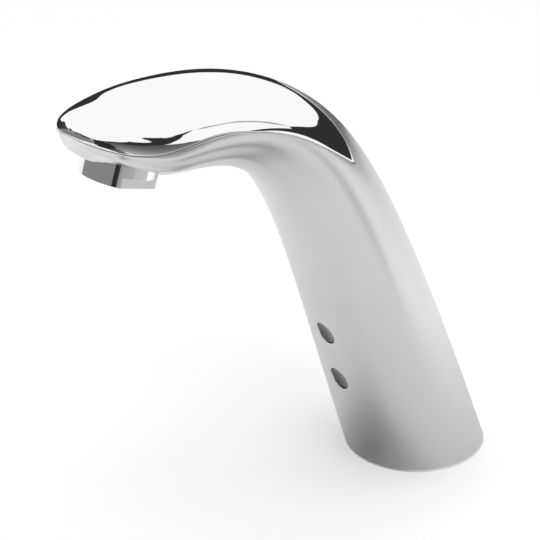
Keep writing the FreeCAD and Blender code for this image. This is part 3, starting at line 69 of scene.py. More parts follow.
logging.basicConfig(level=logging.INFO, format="%(name)s: %(message)s")
LOG = logging.getLogger("tap")
Array = np.ndarray
Piece = bpy.types.Object
Socket = bpy.types.NodeSocket
MM = 0.001
TAP_BODY = "tap"
HALVINGS = 46
POLE = 0.01
TURNED_WELD = 0.002
ROLL_ANGLES = np.radians([22.5, 45.0, 67.5, 90.0])
FINE_DETAIL = 4.0
BROAD_DETAIL = 2.0
BROAD_SHARE = 0.06
NOISE_ROUGHNESS = 0.55
GLOSS_SPREAD = (0.1, 0.45)
TINT_STOPS = (0.3, 0.7)
RELIEF_STRENGTH = 0.4
COAT_ROUGHNESS = 0.08


class Finish(Enum):
    """The finishes that the tap's pieces are made in."""

    SATIN_CHROME = "satin_chrome"
    POLISHED_CHROME = "polished_chrome"
    RAW_BRASS = "raw_brass"
    STAINLESS = "stainless"
    SPRING_STEEL = "spring_steel"
    BLACK_PLASTIC = "black_plastic"
    WHITE_PLASTIC = "white_plastic"
    GREY_PLASTIC = "grey_plastic"
    SMOKED_LENS = "smoked_lens"
    BLACK_RUBBER = "black_rubber"
    BOARD_GREEN = "board_green"
    COPPER_WINDING = "copper_winding"
    BLACK_EPOXY = "black_epoxy"
    LEAD_JACKET = "lead_jacket"


class Grain(Enum):
    """What the fine surface of a finish is made of."""

    CLOUD = "cloud"
    BRUSHED = "brushed"
    WOUND = "wound"
    MOULDED = "moulded"


GRAIN_STRETCH: dict[Grain, tuple[float, float, float]] = {
    Grain.CLOUD: (1.0, 1.0, 1.0),
    Grain.MOULDED: (1.0, 1.0, 1.0),
    Grain.BRUSHED: (0.08, 1.0, 1.0),
    Grain.WOUND: (0.02, 0.02, 1.0),
}


class Nodes:
    """A node tree, with a short way to add nodes and join them."""

    def __init__(self, tree: bpy.types.NodeTree) -> None:
        self.tree = tree

    def feed(self, node: bpy.types.Node, inputs: dict[str | int, object]) -> None:
        """Set a node's inputs, or link them where a socket or a list of sockets is given."""
        for name, value in inputs.items():
            sockets = value if isinstance(value, list) else [value]
            if isinstance(sockets[0], Socket):
                for socket in sockets:
                    self.tree.links.new(socket, node.inputs[name])
            else:
                node.inputs[name].default_value = value

    def add(
        self, kind: str, inputs: dict[str | int, object] | None = None, out: str | int = 0, **options: object
    ) -> Socket:
        """Add a node.

        Args:
            kind: The node's type.
            inputs: What each input is set or linked to.
            out: Which output is asked for.
            options: The node's own settings.

        Returns:
            That output's socket.
        """
        node = self.tree.nodes.new(kind)
        for name, value in options.items():
            setattr(node, name, value)
        self.feed(node, inputs or {})
        return node.outputs[out]

    def maths(self, operation: str, first: object, second: object) -> Socket:
        """Add a calculation with two values or sockets and return its result."""
        return self.add("ShaderNodeMath", {0: first, 1: second}, operation=operation)


def new_material(name: str) -> tuple[bpy.types.Material, Nodes]:
    """Make a material and return it with its nodes."""
    material = bpy.data.materials.new(name)
    material.use_nodes = True
    return material, Nodes(material.node_tree)


def stand(name: str, data: bpy.types.ID) -> Piece:
    """Make an object of a mesh, lamp or camera and link it to the scene."""
    item = bpy.data.objects.new(name, data)
    bpy.context.scene.collection.objects.link(item)
    return item


@contextmanager
def opened(data: bpy.types.Mesh) -> Iterator[bmesh.types.BMesh]:
    """Open a mesh for editing, and write it back afterwards."""
    build = bmesh.new()
    build.from_mesh(data)
    yield build
    build.to_mesh(data)
    build.free()


@dataclass(frozen=True)
class FinishRecipe:
    """How one finish looks: colour, gloss and its fine surface.

    Args:
        tint: Linear colour of the surface.
        metal: One for bare metal or plate, zero for plastic and rubber.
        gloss_low: Lowest roughness that the surface reaches.
        gloss_high: Highest roughness that the surface reaches.
        grain: What the fine surface is made of.
        grain_size: Size of that grain in millimetres.
        relief: Height of the grain in millimetres.
        shade: Share by which the tint varies.
        coat: Strength of a clear coat.
    """

    tint: tuple[float, float, float]
    metal: float
    gloss_low: float
    gloss_high: float
    grain: Grain
    grain_size: float
    relief: float
    shade: float = 0.03
    coat: float = 0.0

    def build(self, name: str) -> bpy.types.Material:
        """Make the material.

        Args:
            name: The material's name.

        Returns:
            The new material.
        """
        material, nodes = new_material(name)
        place = nodes.add("ShaderNodeTexCoord", out="Object")
        drawn = nodes.add("ShaderNodeMapping", {"Vector": place, "Scale": GRAIN_STRETCH[self.grain]})
        repeats = 1.0 / (self.grain_size * MM)
        fine = self._noise(nodes, drawn, repeats, FINE_DETAIL)
        broad = self._noise(nodes, place, BROAD_SHARE * repeats, BROAD_DETAIL)
        relief = {"Height": fine, "Strength": RELIEF_STRENGTH, "Distance": self.relief * MM}
        surface = {
            "Metallic": self.metal,
            "Coat Weight": self.coat,
            "Coat Roughness": COAT_ROUGHNESS,
            "Roughness": self._gloss(nodes, fine, broad),
            "Base Color": self._colour(nodes, broad),
            "Normal": nodes.add("ShaderNodeBump", relief),
        }
        nodes.feed(nodes.tree.nodes["Principled BSDF"], surface)
        return material

    @staticmethod
    def _noise(nodes: Nodes, place: Socket, scale: float, detail: float) -> Socket:
        """Return a noise pattern's value.

        Args:
            nodes: The material's nodes.
            place: Where the pattern reads its place.
            scale: Repeats in a metre.
            detail: How many finer layers it has.
        """
        inputs = {"Vector": place, "Scale": scale, "Detail": detail, "Roughness": NOISE_ROUGHNESS}
        return nodes.add("ShaderNodeTexNoise", inputs, "Fac")

    def _gloss(self, nodes: Nodes, fine: Socket, broad: Socket) -> Socket:
        """Return a roughness that varies with the fine and the broad pattern."""
        both = nodes.maths("MULTIPLY", fine, broad)
        low, high = GLOSS_SPREAD
        limits = {"From Min": low, "From Max": high, "To Min": self.gloss_low, "To Max": self.gloss_high}
        return nodes.add("ShaderNodeMapRange", {"Value": both} | limits)

    def _colour(self, nodes: Nodes, broad: Socket) -> Socket:
        """Return a tint that varies a little over the surface."""
        colour = nodes.add("ShaderNodeValToRGB", {"Fac": broad})
        stops = colour.node.color_ramp.elements
        for stop, position, change in zip(stops, TINT_STOPS, (-self.shade, self.shade)):
            stop.position = position
            stop.color = (*[min(1.0, c * (1.0 + change)) for c in self.tint], 1.0)
        return colour


RECIPES: dict[Finish, FinishRecipe] = {
    Finish.SATIN_CHROME: FinishRecipe((0.745, 0.745, 0.755), 1.0, 0.3, 0.32, Grain.CLOUD, 0.6, 0.0004, 0.01),
    Finish.POLISHED_CHROME: FinishRecipe(
        (0.94, 0.945, 0.95), 1.0, 0.02, 0.045, Grain.CLOUD, 4.0, 0.001, 0.005
    ),
    Finish.RAW_BRASS: FinishRecipe((0.60, 0.42, 0.17), 1.0, 0.22, 0.42, Grain.BRUSHED, 0.4, 0.01, 0.06),
    Finish.STAINLESS: FinishRecipe((0.55, 0.55, 0.54), 1.0, 0.2, 0.36, Grain.BRUSHED, 0.3, 0.01, 0.03),
    Finish.SPRING_STEEL: FinishRecipe((0.45, 0.45, 0.46), 1.0, 0.22, 0.34, Grain.CLOUD, 0.3, 0.005, 0.04),
    Finish.BLACK_PLASTIC: FinishRecipe((0.018, 0.018, 0.02), 0.0, 0.42, 0.58, Grain.MOULDED, 0.4, 0.02, 0.1),
    Finish.WHITE_PLASTIC: FinishRecipe((0.74, 0.74, 0.72), 0.0, 0.3, 0.45, Grain.MOULDED, 0.6, 0.01, 0.02),
    Finish.GREY_PLASTIC: FinishRecipe((0.2, 0.21, 0.22), 0.0, 0.38, 0.52, Grain.MOULDED, 0.4, 0.02, 0.05),
    Finish.SMOKED_LENS: FinishRecipe(
        (0.012, 0.012, 0.016), 0.0, 0.04, 0.09, Grain.MOULDED, 2.0, 0.002, 0.1, 0.6
    ),
    Finish.BLACK_RUBBER: FinishRecipe((0.02, 0.02, 0.02), 0.0, 0.6, 0.8, Grain.MOULDED, 0.5, 0.03, 0.1),
    Finish.BOARD_GREEN: FinishRecipe((0.02, 0.13, 0.05), 0.0, 0.25, 0.4, Grain.CLOUD, 1.0, 0.01, 0.15, 0.4),
    Finish.COPPER_WINDING: FinishRecipe((0.42, 0.13, 0.05), 0.7, 0.25, 0.4, Grain.WOUND, 0.4, 0.08, 0.15, 0.3),
    Finish.BLACK_EPOXY: FinishRecipe((0.015, 0.015, 0.016), 0.0, 0.2, 0.3, Grain.MOULDED, 0.4, 0.01, 0.1),
    Finish.LEAD_JACKET: FinishRecipe((0.03, 0.03, 0.032), 0.0, 0.45, 0.6, Grain.MOULDED, 0.5, 0.02, 0.1),
}


class Workshop:
    """Keeps one material for each finish, and puts it on pieces."""

    def __init__(self) -> None:
        self.made: dict[Finish, bpy.types.Material] = {}

    def material(self, finish: Finish) -> bpy.types.Material:
        """Return the finish's material, made once."""
        if finish not in self.made:
            self.made[finish] = RECIPES[finish].build(finish.value)
        return self.made[finish]

    def dress_nodes(self) -> None:
        """Give every carried-over solid the finish of its record slot."""
        slots = {part["node"]: part["material_slot"] for part in frame["record"]["subparts"]}
        for name, solid in frame["nodes"].items():
            material = self.material(Finish(slots[name]))
            solid.data.materials.clear()
            solid.data.materials.append(material)
        LOG.info("dressed %d carried-over solids", len(slots))

    def finish_piece(self, piece: Piece, finish: Finish, *nodes: str) -> None:
        """Give a new piece its finish, its body and the solids it stands for.

        Args:
            piece: The finished mesh object.
            finish: The finish it is made in.
            nodes: The solids that the piece replaces.
        """
        if not piece.data.materials:
            piece.data.materials.append(self.material(finish))
        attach(piece, TAP_BODY)
        if nodes:
            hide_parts(*nodes)
        LOG.info("%s: %d faces, %s", piece.name, len(piece.data.polygons), finish.value)


def unit(vectors: Array) -> Array:
    """Return vectors scaled to length one."""
    return vectors / np.maximum(np.linalg.norm(vectors, axis=-1, keepdims=True), 1e-9)


def natural_cubic(knots: Array, values: Array, at: Array) -> Array:
    """Return the natural cubic spline through the knots.

    Args:
        knots: Rising places of the knots.
        values: The spline's values there.
        at: The places asked for.

    Returns:
        The spline's values at those places.
    """
    count = len(knots)
    gap = np.diff(knots)
    system = np.eye(count)
    bend = np.zeros(count)
    for i in range(1, count - 1):
        system[i, i - 1] = gap[i - 1]
        system[i, i] = 2.0 * (gap[i - 1] + gap[i])
        system[i, i + 1] = gap[i]
        rise = (values[i + 1] - values[i]) / gap[i]
        fall = (values[i] - values[i - 1]) / gap[i - 1]
        bend[i] = 6.0 * (rise - fall)
    second = np.linalg.solve(system, bend)
    i = np.clip(np.searchsorted(knots, at) - 1, 0, count - 2)
    t = (at - knots[i]) / gap[i]
    s = 1.0 - t
    straight = s * values[i] + t * values[i + 1]
    return straight + gap[i] ** 2 / 6.0 * ((s**3 - s) * second[i] + (t**3 - t) * second[i + 1])


def halve(low: Array, high: Array, past: Callable[[Array], Array]) -> tuple[Array, Array]:
    """Close in on where a test turns true.

    Args:
        low: Places where it is false.
        high: Places where it is true.
        past: The test.

    Returns:
        The last places found false and the first found true.
    """
    for _ in range(HALVINGS):
        middle = (low + high) / 2.0
        beyond = past(middle)
        low = np.where(beyond, low, middle)
        high = np.where(beyond, middle, high)
    return low, high


@dataclass
class TapForm:
    """The tap's outer form, in millimetres: sections along a spine from the nose to the foot."""

    foot_radius: float = 24.5
    spine_y: tuple[float, ...] = (-147.0, -126.0, -109.0, -82.5, -59.0, -39.0, -17.0, 0.0)
    spine_z: tuple[float, ...] = (164.0, 157.5, 157.5, 153.0, 136.5, 102.5, 48.0, 0.0)
    tilt: tuple[float, ...] = (13.0, 1.0, 8.0, 29.0, 45.0, 55.0, 74.0, 90.0)
    half_width: tuple[float, ...] = (18.0, 25.0, 24.8, 23.8, 23.8, 24.6, 25.2, 24.5)
    crown: tuple[float, ...] = (6.2, 8.2, 8.2, 10.6, 15.0, 18.2, 20.8, 24.5)
    belly: tuple[float, ...] = (10.2, 12.0, 18.4, 19.2, 17.2, 18.0, 20.6, 24.5)
    crease_out: tuple[float, ...] = (0.64, 0.73, 0.71, 0.63, 0.65, 0.69, 0.72, 0.7071)
    crease_down: tuple[float, ...] = (0.42, 0.57, 0.56, 0.62, 0.73, 0.71, 0.72, 0.7071)
    flank_turn: tuple[float, ...] = (5.0, 15.0, 24.0, 32.0, 37.0, 41.0, 44.0, 45.0)
    belly_turn: tuple[float, ...] = (74.0, 72.0, 60.0, 52.0, 54.0, 51.0, 47.0, 45.0)
    fullness: tuple[float, ...] = (0.51, 0.52, 0.54, 0.58, 0.56, 0.57, 0.55, 0.5523)
    nose_plan_length: float = 42.0
    nose_side_length: float = 24.0
    eighth_handle: float = 0.3465
    seam_y: tuple[float, ...] = (-156.0, -147.0, -136.0, -122.0, -106.0, -89.0, -71.0, -48.0)
    seam_z: tuple[float, ...] = (170.4, 164.0, 158.8, 158.1, 158.9, 155.5, 148.0, 131.6)
    arch_top: float = -153.0
    arch_rate: float = 0.054
    fine_steps: int = 4001
    nose_search: float = 2.0
    arch_search: tuple[float, float] = (60.0, 118.0)
    seam_search: float = 0.74
    cover_middle: float = 50.0
    nose_cap: float = 0.3
    foot_cap: float = 0.06
    step: float = 0.05
    turn_step: float = 0.0015

    def __post_init__(self) -> None:
        self.stations = np.arange(len(self.spine_y), dtype=float)
        fine = np.linspace(0.0, self.stations[-1], self.fine_steps)
        y = self._along("spine_y", fine)
        z = self._along("spine_z", fine)
        steps = np.hypot(np.diff(y), np.diff(z))
        self.fine = fine
        self.run = np.concatenate([[0.0], np.cumsum(steps)])

    @property
    def length(self) -> float:
        """The spine's whole length."""
        return float(self.run[-1])

    def _along(self, name: str, at: Array) -> Array:
        """Return one size at the spine parameters given."""
        return natural_cubic(self.stations, np.array(getattr(self, name)), at)

    @staticmethod
    def _rounding(distance: Array, length: float) -> Array:
        """Return the share of full size at a distance from the nose."""
        share = np.clip(distance / length, 0.0, 1.0)
        return np.sqrt(1.0 - (1.0 - share) ** 2)

    def point(self, distance: Array, turn: Array) -> Array:
        """Return points of the form.

        Args:
            distance: Distance along the spine from the nose.
            turn: Zero on the crown, one and minus one on the belly, plus on +X; it may run on past one.

        Returns:
            Points in millimetres, with one more axis than the input.
        """
        distance, turn = np.broadcast_arrays(np.asarray(distance, float), np.asarray(turn, float))
        turn = np.where(np.abs(turn) > 1.0, turn - 2.0 * np.sign(turn), turn)
        u = np.interp(distance, self.run, self.fine)
        plan = self._rounding(distance, self.nose_plan_length)
        side = self._rounding(distance, self.nose_side_length)
        width = self._along("half_width", u)
        belly = self._along("belly", u)
        w = width * plan
        up = self._along("crown", u) * side
        down = belly * side
        crease_x = self._along("crease_out", u) * w
        crease_n = -self._along("crease_down", u) * down
        full = self._along("fullness", u)
        flank = np.radians(self._along("flank_turn", u))
        under = np.radians(self._along("belly_turn", u))
        flank_pull = self.eighth_handle * np.hypot(w - crease_x, crease_n)
        under_pull = self.eighth_handle * np.hypot(crease_x, down + crease_n)
        zero = np.zeros_like(w)
        arcs = [
            [(zero, up), (full * w, up), (w, full * up), (w, zero)],
            [
                (w, zero),
                (w, -flank_pull),
                (crease_x + np.sin(flank) * flank_pull, crease_n + np.cos(flank) * flank_pull),
                (crease_x, crease_n),
            ],
            [
                (crease_x, crease_n),
                (crease_x - np.sin(under) * under_pull, crease_n - np.cos(under) * under_pull),
                (under_pull, -down),
                (zero, -down),
            ],
        ]
        share = np.abs(turn)
        starts = (0.0, 0.5, 0.75)
        spans = (0.5, 0.25, 0.25)
        x = np.zeros_like(w)
        n = np.zeros_like(w)
        for arc, start, span in zip(arcs, starts, spans):
            t = np.clip((share - start) / span, 0.0, 1.0)
            here = (share >= start) & (share <= start + span)
            weights = ((1 - t) ** 3, 3 * t * (1 - t) ** 2, 3 * t**2 * (1 - t), t**3)
            x = np.where(here, sum(k * p[0] for k, p in zip(weights, arc)), x)
            n = np.where(here, sum(k * p[1] for k, p in zip(weights, arc)), n)
        tilt = np.radians(self._along("tilt", u))
        y = self._along("spine_y", u) + n * np.sin(tilt)
        z = self._along("spine_z", u) + n * np.cos(tilt)
        return np.stack([x * np.sign(turn), y, z], axis=-1)

    def normal(self, distance: Array, turn: Array) -> Array:
        """Return outward unit normals of the outer form at the same arguments."""
        distance, turn = np.broadcast_arrays(np.asarray(distance, float), np.asarray(turn, float))
        near = np.clip(distance, self.nose_cap, self.length - self.foot_cap)
        along = self.point(near + self.step, turn) - self.point(near - self.step, turn)
        around = self.point(near, turn + self.turn_step) - self.point(near, turn - self.turn_step)
        nose = math.radians(self.tilt[0])
        ahead = np.array([0.0, -math.cos(nose), math.sin(nose)])
        return np.where(distance[..., None] < 1e-6, ahead, unit(np.cross(around, along)))

    def above_seam(self, distance: Array, turn: Array) -> Array:
        """Return how far a point stands above the cover's lower edge, in millimetres."""
        p = self.point(distance, turn)
        return p[..., 2] - natural_cubic(np.array(self.seam_y), np.array(self.seam_z), p[..., 1])

    def seam_turn(self, distance: Array, lift: float | Array = 0.0) -> Array:
        """Return where the cover's lower edge crosses each section.

        Args:
            distance: Distances along the spine.
            lift: How far above the seam the line runs.

        Returns:
            Turns from 0 to 0.74.
        """
        low, high = halve(
            np.zeros_like(distance),
            np.full_like(distance, self.seam_search),
            lambda turn: self.above_seam(distance, turn) <= lift,
        )
        return (low + high) / 2.0

    def past_arch(self, distance: Array, turn: Array) -> Array:
        """Return how far a point lies behind the cover's rear arch, in millimetres."""
        p = self.point(distance, turn)
        back = (p[..., 1] - p[..., 2]) * math.sqrt(0.5)
        return back - (self.arch_top + self.arch_rate * p[..., 0] ** 2)

    def arch_distance(self, share: Array, lift: float = 0.0, shift: float = 0.0) -> Array:
        """Return where each line of the cover ends at the rear arch.

        Args:
            share: Share of the way from the crown to the seam, 0 to 1.
            lift: How far above the seam the cover's side runs.
            shift: How far behind the arch the line runs.

        Returns:
            Distances along the spine.
        """
        first, last = (np.full_like(share, end) for end in self.arch_search)
        low, high = halve(
            first, last, lambda place: self.past_arch(place, share * self.seam_turn(place, lift)) > shift
        )
        return (low + high) / 2.0

    def nose_start(self, lift: float) -> float:
        """Return the distance at which the crown rises above the seam by lift."""
        crown = np.array(0.0)
        _, high = halve(
            np.array(0.0), np.array(self.nose_search), lambda place: self.above_seam(place, crown) > lift
        )
        return float(high)

    def cover_point(self) -> Array:
        """Return a point of the crown well inside the cover's edge."""
        return self.point(np.array(self.cover_middle), np.array(0.0))


class Skin:
    """Collects grids of points into one mesh with welded seams."""

    def __init__(self, name: str) -> None:
        self.name = name
        self.points: list[Array] = []
        self.faces: list[tuple[int, ...]] = []
        self.count = 0

    def grid(self, points: Array, flip: bool = False) -> None:
        """Add a grid of points, shaped rows by columns by three, in millimetres."""
        rows, columns = points.shape[:2]
        base = self.count
        self.points.append(points.reshape(-1, 3))
        self.count += rows * columns
        for i in range(rows - 1):
            for j in range(columns - 1):
                a = base + i * columns + j
                quad = (a, a + 1, a + columns + 1, a + columns)
                self.faces.append(quad[::-1] if flip else quad)

    def mesh(self, weld: float = 0.004) -> Piece:
        """Weld the grids, close the poles and return the object.

        Args:
            weld: Distance in millimetres below which points are one.

        Returns:
            The new object, smooth shaded, in metres.
        """
        data = bpy.data.meshes.new(self.name)
        data.from_pydata((np.concatenate(self.points) * MM).tolist(), [], self.faces)
        with opened(data) as build:
            bmesh.ops.remove_doubles(build, verts=build.verts, dist=weld * MM)
            bmesh.ops.dissolve_degenerate(build, edges=build.edges, dist=weld * MM * 0.1)
            for face in build.faces:
                face.smooth = True
        return stand(self.name, data)


@dataclass(frozen=True)
class Rim:
    """A rolled edge all round an opening or a cover.

    Args:
        radius: Radius of the rolled edge, in millimetres.
        wall: Thickness of the shell there.
    """

    radius: float
    wall: float

    def rows(self, line: Array, out: Array, middle: Array, inward: bool) -> Array:
        """Return the edge's rows, from the outer skin's border to the inner skin's.

        Args:
            line: The border's points, a closed loop.
            out: The skin's outward normals there.
            middle: A point inside the loop.
            inward: Whether the edge rolls towards that point, or away from it.

        Returns:
            A grid whose first row is the outer border and whose last row is the inner one.
        """
        tangent = unit(np.roll(line, -1, axis=0) - np.roll(line, 1, axis=0))
        away = unit(np.cross(tangent, out))
        if (np.mean(np.sum(away * (line - middle), axis=-1)) < 0.0) != inward:
            away = -away
        rows = [line]
        for angle in ROLL_ANGLES:
            rows.append(line + (away * math.sin(angle) - out * (1.0 - math.cos(angle))) * self.radius)
        rows.append(line + away * self.radius - out * (self.wall - self.radius))
        rows.append(line - out * self.wall)
        closed = [np.concatenate([row, row[:1]]) for row in rows]
        return np.array(closed)


@dataclass
class Shells:
    """The satin body and the polished cover on top of it.

    Args:
        form: The tap's outer form.
        across: Columns from the crown to the seam, on one side.
        flank: Columns from the seam to the crease.
        under: Columns from the crease to the belly's middle.
        gap: Half the gap between the body and the cover.
    """

    form: TapForm
    across: int = 30
    flank: int = 12
    under: int = 14
    gap: float = 0.05
    cover_rim: Rim = Rim(0.5, 2.4)
    body_rim: Rim = Rim(0.3, 2.8)
    body_taper: float = 3.0
    foot_edge: float = 0.3
    foot_bore: float = 21.3
    foot_recess: float = 5.0
    pocket_gap: float = 0.15
    pocket_below: float = 6.0
    pocket_above: float = 4.0
    groove_outer: float = 23.45
    groove_inner: float = 21.95
    groove_depth: float = 1.3
    window_centres: tuple[tuple[float, float], ...] = ((-41.0, 55.9), (-34.7, 35.9))
    window_radius: float = 4.25
    window_bevel: float = 0.4
    window_lean: float = 17.5
    patch: int = 4
    patch_cell: float = 1.65
    patch_shares: tuple[float, ...] = (0.3, 0.6, 0.82, 1.0)
    window_search: tuple[float, float, int] = (150.0, 235.0, 3401)
    solve_rounds: int = 12
    solve_steps: tuple[float, float] = (0.05, 0.0005)
    solve_limits: tuple[float, float] = (2.0, 0.03)
    nose_lead: tuple[float, ...] = (0.0, 0.02, 0.07, 0.16, 0.3, 0.5, 0.8, 1.2, 1.7, 2.3, 3.0, 3.9)
    nose_even: tuple[float, float, float] = (5.0, 12.0, 1.2)
    nose_share: float = 0.15
    spout_rows: int = 74
    tail_rows: int = 18
    column_step: float = 1.8
    foot_lead: float = 0.4
    foot_angles: tuple[float, ...] = (0.0, 30.0, 60.0, 90.0)
    pocket_points: int = 96
    foot_rows: int = 14
    recess_rows: int = 10
    crease_turn: float = 0.75

    def nose_steps(self) -> Array:
        """Return shares, 0 to 1, that crowd towards the nose."""
        lead = np.concatenate([self.nose_lead, np.arange(*self.nose_even)])
        rest = np.linspace(self.nose_share, 1.0, self.spout_rows)
        return np.concatenate([lead / lead[-1] * self.nose_share, rest[1:]])

    def shares(self) -> Array:
        """Return places across the cover, -1 to 1, that crowd towards the seams."""
        return np.sin(np.linspace(-0.5, 0.5, 2 * self.across + 1) * math.pi)

    def skins(self, skin: Skin, distance: Array, turn: Array, wall: float) -> None:
        """Add a grid on the outer form and its twin inside the wall.

        Args:
            skin: Where the grids go.
            distance: Distances along the spine.
            turn: Turns, from -1 to 1.
            wall: The shell's thickness.
        """
        outer = self.form.point(distance, turn)
        skin.grid(outer)
        skin.grid(outer - self.form.normal(distance, turn) * wall, flip=True)

    def _edge(self, rim: Rim, distance: list[Array], turn: list[Array], inward: bool) -> Array:
        """Return the rolled edge's rows along a closed border on the outer form.

        Args:
            rim: The rolled edge.
            distance: Distances along the spine of the border's stretches.
            turn: Their turns.
            inward: Whether the edge rolls towards the cover's middle.
        """
        line = (np.concatenate(distance), np.concatenate(turn))
        return rim.rows(self.form.point(*line), self.form.normal(*line), self.form.cover_point(), inward)

    def cover(self) -> Piece:
        """Make the polished cover and return its object."""
        form = self.form
        skin = Skin("polished_cover")
        rim = self.cover_rim
        pull = rim.radius + self.gap
        share = self.shares()
        start = form.nose_start(pull)
        ends = form.arch_distance(np.abs(share), pull, -pull)
        distance = start + self.nose_steps()[:, None] * (ends[None, :] - start)
        turn = share[None, :] * form.seam_turn(distance, pull)
        self.skins(skin, distance, turn, rim.wall)
        border = [[grid[:-1, 0], grid[-1], grid[-2:0:-1, -1]] for grid in (distance, turn)]
        skin.grid(self._edge(rim, *border, inward=False))
        return skin.mesh()

    def _lowered(self, distance: Array) -> Array:
        """Return how far above the seam the body's border runs; it meets the seam at the nose."""
        share = np.clip(distance / self.body_taper, 0.0, 1.0)
        return -(self.body_rim.radius + self.gap) * share**2 * (3.0 - 2.0 * share)

    def body(self) -> Piece:
        """Make the satin body, with its two window holes, and return its object."""
        form = self.form
        rim = self.body_rim
        pull = rim.radius + self.gap
        skin = Skin("satin_body")
        share = self.shares()
        ends = form.arch_distance(np.abs(share), -pull, pull)
        tail = float(ends[0])
        first = self.nose_steps() * tail
        seam = form.seam_turn(first, self._lowered(first))
        flank = np.linspace(0.0, 1.0, self.flank + 1)
        turns_flank = seam[:, None] + (self.crease_turn - seam[:, None]) * flank[None, :]
        under = np.linspace(self.crease_turn, 1.0, self.under + 1)[1:]
        turns = np.concatenate([turns_flank, np.tile(under, (len(first), 1))], axis=1)
        distance = np.repeat(first[:, None], turns.shape[1], axis=1)
        for side in (1.0, -1.0):
            order = slice(None) if side > 0.0 else slice(None, None, -1)
            self.skins(skin, distance, (side * turns)[:, order], rim.wall)
        rows = np.linspace(0.0, 1.0, self.tail_rows)[:, None]
        back = ends[None, :] + rows * (tail - ends[None, :])
        back_turn = share[None, :] * form.seam_turn(back, -pull)
        self.skins(skin, back, back_turn, rim.wall)
        self._column(skin, tail, share * seam[-1], turns[-1])
        loop_d = [first[:-1], ends[::-1], first[-2:0:-1]]
        loop_t = [seam[:-1], back_turn[0][::-1], -seam[-2:0:-1]]
        skin.grid(self._edge(rim, loop_d, loop_t, inward=True))
        return skin.mesh()

    def cut_pocket(self, body: Piece, aerator: "Aerator") -> None:
        """Cut the round pocket that the aerator stands in, with a bore for its thread.

        Args:
            body: The body's closed mesh.
            aerator: The aerator that the pocket holds.
        """
        mouth = aerator.radius + self.pocket_gap
        bore = aerator.thread_radius + self.pocket_gap / 2.0
        low = -self.pocket_below
        high = aerator.height
        top = high + aerator.thread_length + self.pocket_above
        profile = [(POLE, low), (mouth, low), (mouth, high), (bore, high), (bore, top), (POLE, top)]
        cutter = turned("pocket_cutter", profile, even_angles(self.pocket_points))
        cutter.data.transform(aerator.placement())
        cut = body.modifiers.new("pocket", "BOOLEAN")
        cut.operation = "DIFFERENCE"
        cut.solver = "EXACT"
        cut.object = cutter
        settle(body)
        bpy.data.objects.remove(cutter)

    def _windows(self) -> list[tuple[float, Array]]:
        """Return, for each window, its distance along the spine and its centre."""
        found = []
        for y, z in self.window_centres:
            places = np.linspace(*self.window_search)
            front = self.form.point(places, np.ones_like(places))
            miss = np.hypot(front[:, 1] - y, front[:, 2] - z)
            k = int(np.argmin(miss))
            found.append((float(places[k]), front[k]))
        return found

    def _column(self, skin: Skin, tail: float, back: Array, side: Array) -> None:
        """Add the column below the cover's tail, with the windows' patches.

        Args:
            skin: Where the grids go.
            tail: Distance at which the column starts.
            back: Turns of the columns behind the seam, from -seam to +seam.
            side: Turns from the seam to the belly, on one side.
        """
        form = self.form
        wall = self.body_rim.wall
        windows = self._windows()
        reach = self.patch * self.patch_cell
        turns = np.concatenate([back, side[1:], 2.0 - side[::-1][1:]])
        signed = np.where(turns > 1.0, turns - 2.0, turns)
        middle = int(np.argmin(np.abs(turns - 1.0)))
        signed[middle] = 1.0
        left, right = middle - self.patch, middle + self.patch
        stop = tail
        for place, centre in windows:
            low, high = place - reach, place + reach
            rows = max(2, int((low - stop) / self.column_step)) + 1
            self._band(skin, np.linspace(stop, low, rows), signed, wall)
            patch = np.linspace(low, high, 2 * self.patch + 1)
            self._band(skin, patch, signed[: left + 1], wall)
            self._band(skin, patch, signed[right:], wall)
            self._window_patch(skin, patch, turns[left : right + 1], centre)
            stop = high
        outer = np.linspace(stop, form.length - self.foot_lead, self.foot_rows)
        skin.grid(form.point(outer[:, None], signed[None, :]))
        inner = np.linspace(stop, form.length - self.foot_recess, self.recess_rows)
        distance, turn = np.broadcast_arrays(inner[:, None], signed[None, :])
        inside = form.point(distance, turn) - form.normal(distance, turn) * wall
        inside[-1, :, 2] = self.foot_recess
        skin.grid(inside, flip=True)
        self._foot(skin, form.point(np.full_like(signed, outer[-1]), signed), inside[-1])

    def _band(self, skin: Skin, distance: Array, turns: Array, wall: float) -> None:
        """Add rows at each distance over the same turns, outside and inside."""
        along, around = np.broadcast_arrays(distance[:, None], turns[None, :])
        self.skins(skin, along, around, wall)

    def _foot(self, skin: Skin, ring: Array, inside: Array) -> None:
        """Roll the body's lower edge in under the foot and cut the seal's groove.

        Args:
            skin: Where the grid goes.
            ring: The outer skin's last row.
            inside: The inner skin's last row.
        """
        out = unit(ring * np.array([1.0, 1.0, 0.0]))
        lift = np.array([0.0, 0.0, 1.0])
        rows = [ring]
        for angle in np.radians(self.foot_angles):
            radius = self.form.foot_radius - self.foot_edge * (1.0 - math.cos(angle))
            rows.append(out * radius + lift * self.foot_edge * (1.0 - math.sin(angle)))
        groove = self.groove_depth
        profile = [(self.groove_outer, 0.0), (self.groove_outer, groove)]
        profile += [(self.groove_inner, groove), (self.groove_inner, 0.0)]
        profile += [(self.foot_bore, 0.0), (self.foot_bore, self.foot_recess)]
        rows += [out * radius + lift * height for radius, height in profile]
        rows.append(inside)
        skin.grid(np.array(rows))

